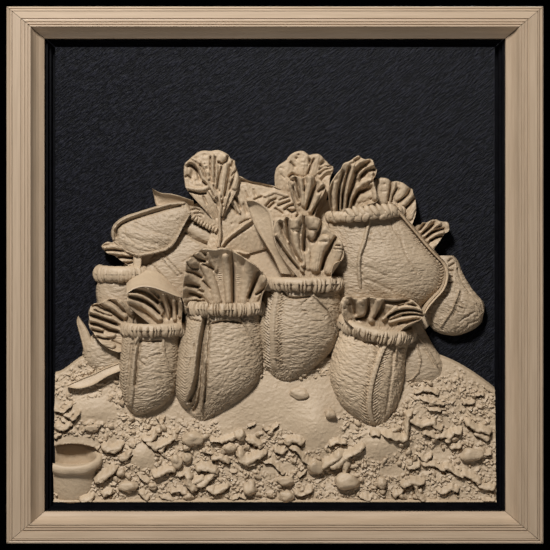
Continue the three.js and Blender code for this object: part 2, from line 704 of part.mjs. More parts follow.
function soilSolid() {
  const columns = 36;
  const rows = 12;
  const draw = drawsFrom(11);
  const rings = [];
  for (let column = 0; column <= columns; column++) {
    const x = blend(-RELIEF_HALF_WIDTH, RELIEF_HALF_WIDTH, column / columns);
    const top = soilEdge(x);
    const ring = [];
    for (let row = 0; row <= rows; row++) {
      const z = blend(RELIEF_BOTTOM, top, row / rows);
      const lump = isGravel(x, z) && column > 0 && column < columns ? SOIL_LUMP * (draw() - 0.5) : 0;
      const roundOff = row === rows ? 2.5 : 0;
      ring.push(onPanel(x, z, soilHeight(x, z) + lump - roundOff));
    }
    ring.push(onPanel(x, top, ROOT_DEPTH), onPanel(x, RELIEF_BOTTOM, ROOT_DEPTH));
    rings.push(ring);
  }
  return loft(rings);
}

// Named stones, each with its place and its half-sizes across, up and forward
const STONES = [
  { at: [14.5, -66.5], half: [5.7, 3.6, 2] },
  { at: [31.2, -78.2], half: [3.3, 3.2, 3] },
  { at: [40.5, -115], half: [6.9, 5.4, 4.5] },
  { at: [110.8, -101], half: [7, 5.2, 3.5] },
  { at: [60, -116.5], half: [4, 3.4, 3] },
  { at: [-46.5, -93], half: [6, 4.6, 3.5] },
  { at: [-25, -98], half: [3.8, 3.4, 3] },
  { at: [-20, -90.5], half: [3, 3, 3] },
  { at: [-13.5, -119], half: [4.3, 4.6, 3.5] },
  { at: [-81.5, -119], half: [5.8, 3.6, 3] },
  { at: [-57, -104], half: [3, 2.8, 2.6] },
  { at: [-37, -119], half: [4.2, 5, 3] },
  { at: [-62, -109], half: [6, 3, 2.6] },
  { at: [70, -83], half: [7, 2.4, 2.6] },
];

// A rough stone, half sunk in the soil.
function stoneSolid({ at, half }, stone, turn) {
  stone.rotateY(turn);
  stone.scale(half[0], half[2], half[1]);
  stone.translate(at[0], -PANEL_FRONT - soilHeight(at[0], at[1]) - half[2] * 0.2, at[1]);
  return solidOf(stone);
}

const SCRAP_COUNT = 24;

// Whether a place is clear of the pitchers' feet, the pot and the smooth ground between the plants.
function isGravel(x, z) {
  const smoothGround = ((x - 8) / 52) ** 2 + ((z + 66) / 24) ** 2 < 1;
  const underPlants = z > -82 && x > -92 && x < 72;
  const underPot = x < -97 && z < -86;
  return !smoothGround && !underPlants && !underPot;
}

// Scraps of gravel and bark scattered over the soil
function scrapSolids() {
  const draw = drawsFrom(7);
  const scraps = [];
  while (scraps.length < SCRAP_COUNT) {
    const x = blend(-RELIEF_HALF_WIDTH + 3, RELIEF_HALF_WIDTH - 3, draw());
    const z = blend(RELIEF_BOTTOM + 3, -52, draw());
    const half = [blend(2.2, 4.2, draw()), blend(1.6, 2.6, draw()), blend(1.8, 2.6, draw())];
    const turn = draw() * Math.PI;
    if (isGravel(x, z) && z < soilEdge(x) - 4) {
      const scrap = new THREE.OctahedronGeometry(1.2);
      scraps.push(stoneSolid({ at: [x, z], half }, scrap, turn));
    }
  }
  return scraps;
}

// Pot: a small thick-rimmed pot, tipped towards the viewer and half cut off by the edge of the relief
const POT_MIDDLE = [-114.5, -101.5];
const POT_LEVEL = 17;
const POT_TILT = THREE.MathUtils.degToRad(22);
const POT_FLATTENING = 0.5;

function potSolid() {
  const profile = [
    [0, -24], [13, -24], [14.5, -4.5], [17, -3.6], [17.4, 0], [13.4, 0.4], [12.6, -6], [0, -6.5],
  ];
  const section = profile.map(([radius, height]) => new THREE.Vector2(radius, height));
  const pot = new THREE.LatheGeometry(section, 16);
  pot.rotateX(Math.PI / 2);
  pot.rotateX(POT_TILT);
  pot.scale(1, POT_FLATTENING, 1);
  pot.translate(POT_MIDDLE[0], -PANEL_FRONT - POT_LEVEL, POT_MIDDLE[1]);
  return solidOf(pot);
}

// The outer skin alone of a joined solid: hollows that joining seals are filled, and loose scraps dropped.
function outerSkin(solid) {
  const { vertProperties, triVerts } = solid.getMesh();
  const count = vertProperties.length / 3;
  const pointAt = (_, i) => new THREE.Vector3().fromArray(vertProperties, i * 3);
  const points = Array.from({ length: count }, pointAt);
  const group = points.map((_, i) => i);
  const find = (i) => {
    while (group[i] !== i) {
      group[i] = group[group[i]];
      i = group[i];
    }
    return i;
  };
  for (let i = 0; i < triVerts.length; i += 3) {
    group[find(triVerts[i])] = find(triVerts[i + 1]);
    group[find(triVerts[i + 1])] = find(triVerts[i + 2]);
  }
  const shells = new Map();
  for (let i = 0; i < triVerts.length; i += 3) {
    const key = find(triVerts[i]);
    shells.set(key, [...(shells.get(key) ?? []), triVerts[i], triVerts[i + 1], triVerts[i + 2]]);
  }
  const widest = [...shells.values()].reduce((best, shell) => (shell.length > best.length ? shell : best));
  const geometry = new THREE.BufferGeometry().setFromPoints(points);
  geometry.setIndex(widest);
  return solidOf(geometry.toNonIndexed());
}

function reliefSolid() {
  const pieces = [
    soilSolid(),
    massSolid(),
    ...Object.values(PITCHERS).map(pitcherBody),
    ...Object.values(LIDS).map(lidSolid),
    ...Object.values(LEAVES).map(leafSolid),
    ...RIMS.map(({ on, ribs, thick }) => rim(PITCHERS[on], ribs, thick)),
    ...RIBS.map(ribSolid),
    ...STONES.map((stone, index) => stoneSolid(stone, new THREE.SphereGeometry(1, 6, 4), index)),
    ...scrapSolids(),
    potSolid(),
  ];
  const whole = pieces.reduce((joined, piece) => joined.add(piece));
  const low = [-RELIEF_HALF_WIDTH, -PANEL_FRONT - RELIEF_REACH, RELIEF_BOTTOM];
  const high = [RELIEF_HALF_WIDTH, -PANEL_FRONT - GAP, RELIEF_TOP];
  return outerSkin(whole.intersect(boxSolid(low, high)));
}

place("relief", geometryOf(reliefSolid()), CLAY);

export default plaque;
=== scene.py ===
# %% [markdown]
# # A framed relief of pitcher plants
# The object is a square wall plaque, 300 mm a side: a tan moulded frame, a stepped black slip inside it, a
# dark brushed panel, and on the panel one deep casting of a clump of pitcher plants in gravelly soil. A
# imported CAD model gives its true sizes. Every piece below is made around that model, in the same place, and
# only the looks get richer: finer mouldings, real flutes, ribs and wrinkles, and proper finishes.

# %% The imported model
import math

import bmesh
import bpy
from mathutils import Matrix, Vector, noise


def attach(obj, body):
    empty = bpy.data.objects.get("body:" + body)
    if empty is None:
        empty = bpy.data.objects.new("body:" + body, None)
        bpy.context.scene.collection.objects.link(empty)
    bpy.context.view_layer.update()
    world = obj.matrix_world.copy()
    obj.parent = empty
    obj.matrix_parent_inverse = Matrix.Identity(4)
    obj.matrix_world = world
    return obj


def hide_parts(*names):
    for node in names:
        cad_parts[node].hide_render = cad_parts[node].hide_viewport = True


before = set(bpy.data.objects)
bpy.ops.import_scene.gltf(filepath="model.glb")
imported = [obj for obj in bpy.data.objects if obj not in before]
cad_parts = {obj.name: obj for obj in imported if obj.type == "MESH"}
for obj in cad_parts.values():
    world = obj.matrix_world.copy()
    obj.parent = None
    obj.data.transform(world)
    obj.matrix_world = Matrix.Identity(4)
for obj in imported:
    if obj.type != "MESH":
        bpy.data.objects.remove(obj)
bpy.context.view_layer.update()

# %% [markdown]
# ## Places on the plaque
# The wall is the plane y = 0 and the viewer looks along +y, so a height off the panel is a step towards -y.
# All sizes below are in millimetres and are turned into metres only when a point is placed. A few small
# helpers that shape a curve are shared by every form: a blend, a soft step, and a bump that fades on both
# sides.

# %% Places and helpers
MM = 0.001
FRAME_SIDE = 300.0
PANEL_FRONT = 10.0
ROOT_DEPTH = -2.0
RELIEF_HALF_WIDTH = 124.4
RELIEF_BOTTOM = -127.5


def on_panel(x, z, height):
    return Vector((x, -PANEL_FRONT - height, z)) * MM


def blend(start, end, share):
    return start + (end - start) * share


def clamp(value, low=0.0, high=1.0):
    return min(max(value, low), high)


def soft_step(low, high, value):
    share = clamp((value - low) / (high - low))
    return share * share * (3.0 - 2.0 * share)


def bump(distance, half):
    return math.exp(-((distance / half) ** 2))


def grain(x, z, seed=0.0):
    return noise.noise(Vector((x, z, seed)))


print("relief width:", 2 * RELIEF_HALF_WIDTH, "mm")


# %% A smooth line through a few points, and a place on it
LINE_STEPS = 96
STEPS_BETWEEN_POINTS = 8


def smooth_line(points, steps=LINE_STEPS):
    ends = [points[0], *points, points[-1]]
    drawn = []
    for before, start, end, after in zip(ends, ends[1:], ends[2:], ends[3:]):
        for step in range(STEPS_BETWEEN_POINTS):
            t = step / STEPS_BETWEEN_POINTS
            drawn.append(tuple(
                b + 0.5 * t * (c - a + t * (2 * a - 5 * b + 4 * c - d + t * (3 * (b - c) + d - a)))
                for a, b, c, d in zip(before, start, end, after)
            ))
    drawn.append(tuple(points[-1]))
    reach = [0.0]
    for start, end in zip(drawn, drawn[1:]):
        reach.append(reach[-1] + math.hypot(end[0] - start[0], end[1] - start[1]))
    line = []
    at = 0
    for step in range(steps + 1):
        wanted = reach[-1] * step / steps
        while at < len(reach) - 2 and reach[at + 1] < wanted:
            at += 1
        part = (wanted - reach[at]) / max(reach[at + 1] - reach[at], 1e-9)
        line.append(tuple(blend(a, b, part) for a, b in zip(drawn[at], drawn[at + 1])))
    return line


def place_on(line, share):
    place = clamp(share) * (len(line) - 1)
    at = min(int(place), len(line) - 2)
    return tuple(blend(a, b, place - at) for a, b in zip(line[at], line[at + 1]))


def line_length(line):
    return sum(math.hypot(b[0] - a[0], b[1] - a[1]) for a, b in zip(line, line[1:]))


print("a smooth line has", LINE_STEPS, "steps")

# %% [markdown]
# ## Finishes
# The frame and the relief look cast in one matt tan material, the slip is satin black, and the panel is a
# dark blue-black that was brushed on in slanting marks, whose paler marks are partly their own tone and
# partly painted sheen. Each finish is a small node tree that reads Object coordinates, so a pattern stays put
# on the piece. Values that are the same all over are set on the shader. The four rails share one paint, but
# the top and bottom rails are made paler as painted light and the side rails darker as painted shade. The
# pitchers' wrinkled clay is made a little darker than the smooth clay, as painted shade for the fine shadows
# in its wrinkles, except at the front right, where it is paler.

# %% A material, its texture coordinates and the nodes they share
def new_finish(name, roughness, metallic=0.0):
    material = bpy.data.materials.new(name)
    material.use_nodes = True
    shader = material.node_tree.nodes["Principled BSDF"]
    shader.inputs["Roughness"].default_value = roughness
    shader.inputs["Metallic"].default_value = metallic
    return material, material.node_tree, shader


def placed_noise(tree, scale, stretch=(1.0, 1.0, 1.0), turn=0.0, detail=4.0):
    place = tree.nodes.new("ShaderNodeTexCoord")
    turned = tree.nodes.new("ShaderNodeMapping")
    turned.inputs["Rotation"].default_value = (0.0, turn, 0.0)
    stretched = tree.nodes.new("ShaderNodeMapping")
    stretched.inputs["Scale"].default_value = stretch
    texture = tree.nodes.new("ShaderNodeTexNoise")
    texture.inputs["Scale"].default_value = scale
    texture.inputs["Detail"].default_value = detail
    tree.links.new(place.outputs["Object"], turned.inputs["Vector"])
    tree.links.new(turned.outputs["Vector"], stretched.inputs["Vector"])
    tree.links.new(stretched.outputs["Vector"], texture.inputs["Vector"])
    return texture.outputs["Fac"]


def color_between(tree, factor, stops):
    ramp = tree.nodes.new("ShaderNodeValToRGB")
    ramp.color_ramp.elements[0].position = stops[0][0]
    ramp.color_ramp.elements[0].color = (*stops[0][1], 1.0)
    ramp.color_ramp.elements[1].position = stops[-1][0]
    ramp.color_ramp.elements[1].color = (*stops[-1][1], 1.0)
    for position, color in stops[1:-1]:
        ramp.color_ramp.elements.new(position).color = (*color, 1.0)
    tree.links.new(factor, ramp.inputs["Fac"])
    return ramp.outputs["Color"]


def add_bump(tree, shader, factor, depth, strength=1.0):
    relief = tree.nodes.new("ShaderNodeBump")
    relief.inputs["Strength"].default_value = strength
    relief.inputs["Distance"].default_value = depth * MM
    tree.links.new(factor, relief.inputs["Height"])
    tree.links.new(relief.outputs["Normal"], shader.inputs["Normal"])


# %% Tan frame paint and the matt casting
PAINT_TONES = [(0.3, (0.340, 0.246, 0.162)), (0.7, (0.414, 0.306, 0.208))]
CLAY_TONES = [(0.3, (0.352, 0.258, 0.164)), (0.7, (0.424, 0.317, 0.206))]


# Scales a finish's tones; this is how light and shade are painted onto copies of one material.
def lightened(tones, painted_light_gain):
    return [(place, tuple(painted_light_gain * part for part in color)) for place, color in tones]


def frame_paint(name, streaks, painted_light_gain):
    material, tree, shader = new_finish(name, 0.46)
    cloudy = placed_noise(tree, 30.0, stretch=streaks, detail=6.0)
    tone = color_between(tree, cloudy, lightened(PAINT_TONES, painted_light_gain))
    tree.links.new(tone, shader.inputs["Base Color"])
    add_bump(tree, shader, placed_noise(tree, 260.0, stretch=streaks, detail=3.0), 0.03, 0.6)
    return material


def cast_clay(name, wrinkle_depth, painted_light_gain):
    material, tree, shader = new_finish(name, 0.58)
    cloudy = placed_noise(tree, 55.0, detail=6.0)
    tone = color_between(tree, cloudy, lightened(CLAY_TONES, painted_light_gain))
    tree.links.new(tone, shader.inputs["Base Color"])
    if wrinkle_depth > 0.0:
        wrinkles = placed_noise(tree, 620.0, stretch=(0.4, 0.6, 1.0), detail=3.0)
        add_bump(tree, shader, wrinkles, wrinkle_depth, 1.0)
    else:
        add_bump(tree, shader, placed_noise(tree, 480.0, detail=8.0), 0.5, 0.9)
    return material


# One paint: the side rails get painted shade, the top and bottom rails painted light.
side_tan_painted_shade = frame_paint("side_rail_painted_shade", (24.0, 4.0, 1.0), 0.96)
end_tan_painted_light = frame_paint("end_rail_painted_light", (1.0, 4.0, 24.0), 1.12)
relief_tan = cast_clay("cast_clay", 0.0, 1.0)
# The wrinkled clay is darkened as painted shade for the fine shadows in its wrinkles.
wrinkled_tan_painted_shade = cast_clay("wrinkled_clay_painted_shade", 0.9, 0.85)
pale_wrinkled_tan = cast_clay("pale_wrinkled_clay", 0.9, 1.05)
print("finishes:", side_tan_painted_shade.name, end_tan_painted_light.name, relief_tan.name)


# %% Satin black slip and the brushed panel
def satin_black():
    material, tree, shader = new_finish("satin_black", 0.34)
    shader.inputs["Specular IOR Level"].default_value = 0.12
    faint = placed_noise(tree, 180.0)
    tone = color_between(tree, faint, [(0.35, (0.0016, 0.0016, 0.0022)), (0.65, (0.0032, 0.0032, 0.0042))])
    tree.links.new(tone, shader.inputs["Base Color"])
    add_bump(tree, shader, placed_noise(tree, 1200.0), 0.02, 0.4)
    return material


def brushed_navy():
    material, tree, shader = new_finish("brushed_navy", 0.5)
    shader.inputs["Specular IOR Level"].default_value = 0.1
    strokes_and_sheen = placed_noise(tree, 640.0, stretch=(0.5, 1.0, 2.6), turn=math.radians(42.0), detail=3.0)
    # The stroke noise sets both the bump and the tone; the paler end of the tones is partly the marks' own
    # tone and partly painted sheen.
    tone = color_between(tree, strokes_and_sheen, [
        (0.38, (0.0003, 0.0003, 0.0010)),
        (0.50, (0.0010, 0.0011, 0.0027)),
        (0.64, (0.0088, 0.0090, 0.0140)),
    ])
    tree.links.new(tone, shader.inputs["Base Color"])
    add_bump(tree, shader, strokes_and_sheen, 0.6, 1.0)
    return material


slip_black = satin_black()
panel_dark = brushed_navy()
print("finishes:", slip_black.name, panel_dark.name)


# %% Brown board and zinc-plated steel
def brown_hardboard():
    material, tree, shader = new_finish("brown_hardboard", 0.82)
    fibres = placed_noise(tree, 420.0, detail=8.0)
    tone = color_between(tree, fibres, [(0.3, (0.085, 0.048, 0.026)), (0.7, (0.155, 0.094, 0.055))])
    tree.links.new(tone, shader.inputs["Base Color"])
    add_bump(tree, shader, fibres, 0.12, 0.7)
    return material


def plated_steel():
    material, tree, shader = new_finish("plated_steel", 0.36, metallic=1.0)
    scratches = placed_noise(tree, 160.0, stretch=(1.0, 1.0, 12.0), detail=6.0)
    tone = color_between(tree, scratches, [(0.3, (0.42, 0.42, 0.40)), (0.7, (0.60, 0.60, 0.58))])
    tree.links.new(tone, shader.inputs["Base Color"])
    add_bump(tree, shader, scratches, 0.02, 0.5)
    return material


backing_brown = brown_hardboard()
fixing_steel = plated_steel()
print("finishes:", backing_brown.name, fixing_steel.name)

# %% [markdown]
# ## The camera, first of all
# The photograph was taken square on from a little over a metre: the frame's four sides look alike and the
# deep relief shows hardly any perspective. A lens of about 135 mm at 1.15 m from the frame's front gives
# that view.

# %% Camera
CAMERA_REACH = 1.15
FRAME_FRONT = 0.034
SENSOR_WIDTH = 36.0
PHOTO_SIDE = 550
FRAME_SIDE_PIXELS = 538
lens_data = bpy.data.cameras.new("front_view")
lens_data.sensor_width = SENSOR_WIDTH
lens_data.lens = SENSOR_WIDTH * CAMERA_REACH * FRAME_SIDE_PIXELS / (FRAME_SIDE * MM * PHOTO_SIDE)
camera = bpy.data.objects.new("front_view", lens_data)
camera.location = (0.0, -FRAME_FRONT - CAMERA_REACH, 0.0)
camera.rotation_euler = (math.radians(90.0), 0.0, 0.0)
bpy.context.scene.collection.objects.link(camera)
bpy.context.scene.camera = camera
print("lens", round(lens_data.lens, 1), "mm")

# %% [markdown]
# ## From a sheet to a casting
# Every form of the relief is a front skin that dives back into the panel at its edge. The skin starts as a
# flat grid, and each of its points is moved to where the form has it. The rim of the grid is then extruded
# back behind the panel's face and filled, so each form is a closed body. A tube, such as a rolled rim, is
# the same grid with two of its edges joined and its ends filled.

# %% Sheets, skirts and tubes
WELD = 0.002
TUBE_WELD = 0.004


def shaped_grid(columns, rows, point_at):
    mesh = bmesh.new()
    bmesh.ops.create_grid(mesh, x_segments=columns, y_segments=rows, size=0.5)
    for vert in mesh.verts:
        vert.co = point_at(vert.co.x + 0.5, vert.co.y + 0.5)
    return mesh


def close_to_panel(mesh, undercut):
    middle = sum((vert.co for vert in mesh.verts), Vector()) / len(mesh.verts)
    edge = [side for side in mesh.edges if side.is_boundary]
    skirt = bmesh.ops.extrude_edge_only(mesh, edges=edge)["geom"]
    foot = [part for part in skirt if isinstance(part, bmesh.types.BMVert)]
    for vert in foot:
        inward = middle.lerp(vert.co, undercut)
        vert.co = Vector((inward.x, -(PANEL_FRONT + ROOT_DEPTH) * MM, inward.z))
    open_sides = [side for side in mesh.edges if side.is_boundary]
    bmesh.ops.contextual_create(mesh, geom=open_sides)
    return mesh


def close_tube(mesh):
    bmesh.ops.remove_doubles(mesh, verts=mesh.verts, dist=TUBE_WELD * MM)
    open_sides = [side for side in mesh.edges if side.is_boundary]
    bmesh.ops.holes_fill(mesh, edges=open_sides, sides=0)
    return mesh


triangle_count = {}


def add_piece(mesh, name, finish, nodes, sharp=math.radians(50.0)):
    bmesh.ops.remove_doubles(mesh, verts=mesh.verts, dist=WELD * MM)
    bmesh.ops.recalc_face_normals(mesh, faces=mesh.faces)
    for face in mesh.faces:
        face.smooth = True
    data = bpy.data.meshes.new(name)
    mesh.to_mesh(data)
    mesh.free()
    data.set_sharp_from_angle(angle=sharp)
    data.materials.append(finish)
    piece = bpy.data.objects.new(name, data)
    bpy.context.scene.collection.objects.link(piece)
    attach(piece, "root")
    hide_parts(*nodes)
    triangle_count[name] = sum(len(face.vertices) - 2 for face in data.polygons)
    return piece


def add_relief_piece(mesh, name, finish=relief_tan):
    return add_piece(mesh, name, finish, ["relief"])


# %% [markdown]
# ## Folds and slits
# The sculptor worked with a modelling tool: rolled ridges and fingers rise from a surface, and slits are
# pressed into it. Each is drawn here as a line with a half-width and a height, so one small helper serves
# every form: a fold that rises has a round section, and one that sinks is a soft-edged slit.

# %% Folds drawn as lines
FOLD_FADE = 2.6


def gap_to_line(x, z, points):
    nearest = 1e9
    for (start_x, start_z), (end_x, end_z) in zip(points, points[1:]):
        run_x = end_x - start_x
        run_z = end_z - start_z
        part = clamp(((x - start_x) * run_x + (z - start_z) * run_z) / (run_x * run_x + run_z * run_z))
        nearest = min(nearest, math.hypot(x - start_x - part * run_x, z - start_z - part * run_z))
    return nearest


def fold_box(fold):
    points, half, rise = fold
    across = [x for x, z in points]
    up = [z for x, z in points]
    reach = half * FOLD_FADE
    return min(across) - reach, max(across) + reach, min(up) - reach, max(up) + reach


def folds_height(x, z, folds):
    highest = 0.0
    deepest = 0.0
    for (points, half, rise), (left, right, low, high) in folds:
        if left < x < right and low < z < high:
            away = gap_to_line(x, z, points) / half
            if rise < 0.0:
                deepest = min(deepest, rise * math.exp(-away * away))
            elif away < 1.0:
                highest = max(highest, rise * math.sqrt(1.0 - away * away))
    return highest + deepest


def with_boxes(folds):
    return [(fold, fold_box(fold)) for fold in folds]


# %% [markdown]
# ## The pitchers' bodies
# A pitcher is a leaf that has become a jug: a wide mouth, a round belly, and a foot that rests on the soil.
# Ridges run down some of them, and the skin is covered in fine wrinkles, wavy, crackled or hatched. Each
# body is given by a few rows from its mouth to its foot: the row's middle and its half-width. Level is the
# height of its widest line off the panel and swell is how far its front stands beyond that. Ridges run from
# one place to another, each place being a share of the length and a place across from -1 to 1. A wing is a
# flat strip with pits along its edges and short pleats on both sides, and pleats can also stand alone.
# Other folds and slits are drawn as lines, and push the skin straight forward or back, so that a deep one
# keeps its place. Slope tips the mouth, lean turns the wrinkles, and fineness makes the grid finer or
# coarser.

# %% Pitchers: places and sizes in millimetres
PITCHERS = {
    "back_left_low": dict(
        rows=[(-38, 31, 13), (-43, 22, 17), (-48.5, 12, 21), (-54, 1, 23), (-58, -10, 20), (-60, -20, 1)],
        level=2, swell=8, skin="hatched", lean=(38, 38), fineness=0.9, ridges=[],
    ),
    "left_small": dict(
        rows=[(-87, 1, 12), (-88, -3, 12.6), (-88.5, -9, 13.2), (-88, -17, 12.5), (-87, -25, 8),
              (-87, -28, 1)],
        level=3, swell=8, skin="crackled", lean=(0, 0), fineness=0.85, ridges=[],
    ),
    "far_left": dict(
        rows=[(-93, -30, 6), (-97, -38, 10), (-97, -45, 12), (-95, -52, 11), (-93, -58, 1)],
        level=5, swell=6, skin="wavy", lean=(0, 0), fineness=0.8, ridges=[],
    ),
    "right_fold": dict(
        rows=[(43, 33, 13), (46, 20, 16), (49, 5, 18), (51, -10, 17), (53, -20, 12), (54, -27, 1)],
        level=4, swell=11, skin="wavy", lean=(10, 10), fineness=0.7, ridges=[],
    ),
    "far_right": dict(
        rows=[(97, 11, 4.2), (97.4, 7.6, 6.8), (98.6, 2, 7.6), (99.2, -3, 9.6), (100.6, -8.2, 11.6),
              (101.4, -12.7, 14.7), (102, -15.5, 16.4), (102.5, -19.5, 16.6), (102.2, -23.4, 16),
              (102, -27.4, 14.7),
              (101.2, -30.8, 11.6), (100.6, -33, 7), (101, -34.4, 0.5)],
        level=3, swell=9.5, skin="wavy", lean=(-20, -35), ridges=[],
    ),
    "right_low": dict(
        rows=[(76.5, -27, 6), (78, -35, 9), (80, -42, 11), (82, -48, 13.2), (82.5, -54, 13.8), (82, -59, 13),
              (81.5, -62, 3)],
        level=4, swell=8, skin="hatched", lean=(30, 30), ridges=[],
    ),
    "right": dict(
        rows=[(51.5, 35, 20.2), (52.5, 30.6, 22.5), (55.7, 23.3, 25.6), (58.8, 16.6, 28), (61.8, 11, 30.6),
              (64.1, 7.6, 31.8), (66.4, 3.1, 31.4), (67.3, -2.5, 29.9), (67.8, -8.1, 27), (68, -12.1, 22.8),
              (68.4, -14.3, 19.4), (69.8, -17.1, 13.8), (72, -21, 1)],
        level=5, swell=14, slope=5, skin="crackled", lean=(-8, 25), fineness=1.15,
        ridges=[("pleats", (0.02, 0.84), (0.8, 0.86), 1.6, 0.9)],
    ),
    "front_left": dict(
        rows=[(-68.5, -30, 16), (-70, -37, 16.5), (-70.5, -46, 17), (-71, -56, 17), (-71.5, -66, 15),
              (-73, -72, 12),
              (-75, -76.5, 7), (-77, -79, 0.5)],
        level=9.5, swell=13.5, skin="wavy", lean=(4, 12), fineness=1.25,
        ridges=[("pleats", (0.1, -0.78), (0.8, -0.88), 1.2, 0.6),
                ("pleats", (0.05, 0.8), (0.4, 0.8), 1.2, 0.5)],
    ),
    "centre": dict(
        rows=[(15.5, -4, 21.5), (15, -12, 22.5), (14, -20, 23.5), (13.5, -31, 23.8), (12.5, -40, 21.5),
              (10, -48, 17.5), (8, -55, 11.5), (6, -60.5, 0.5)],
        level=6.5, swell=15.5, skin="wavy", lean=(0, 5), fineness=1.15,
        ridges=[("wing", (0.08, -0.62), (0.88, -0.62), 1.4, 1.2),
                ("pleats", (0.05, -0.95), (0.6, -0.95), 1.4, 0.6)],
    ),
    "front_middle": dict(
        rows=[(-28, -18, 21), (-29.5, -26, 22.5), (-30.5, -35, 24), (-31.5, -45, 25), (-32.5, -55, 25.3),
              (-35, -65, 22), (-38, -73, 15.5), (-40, -79, 9), (-42, -84, 0.5)],
        level=8, swell=15, skin="wavy", lean=(0, 48), fineness=1.2,
        ridges=[("pleats", (0.06, -0.7), (0.85, -0.7), 2.2, 0.5)],
    ),
    "front_right": dict(
        rows=[(57, -31, 19.5), (54.5, -40, 20.5), (53, -47, 21), (52, -56, 21.3), (52, -64.5, 19.5),
              (53, -73, 16.3), (55, -80.5, 10.5), (57, -86, 0.5)],
        level=8.5, swell=15, slope=-12, skin="wavy", lean=(-18, -40), fineness=1.2,
        finish="pale", ridges=[("wing", (0.1, 0.32), (0.97, -0.12), 1.2, 1.5)],
    ),
}

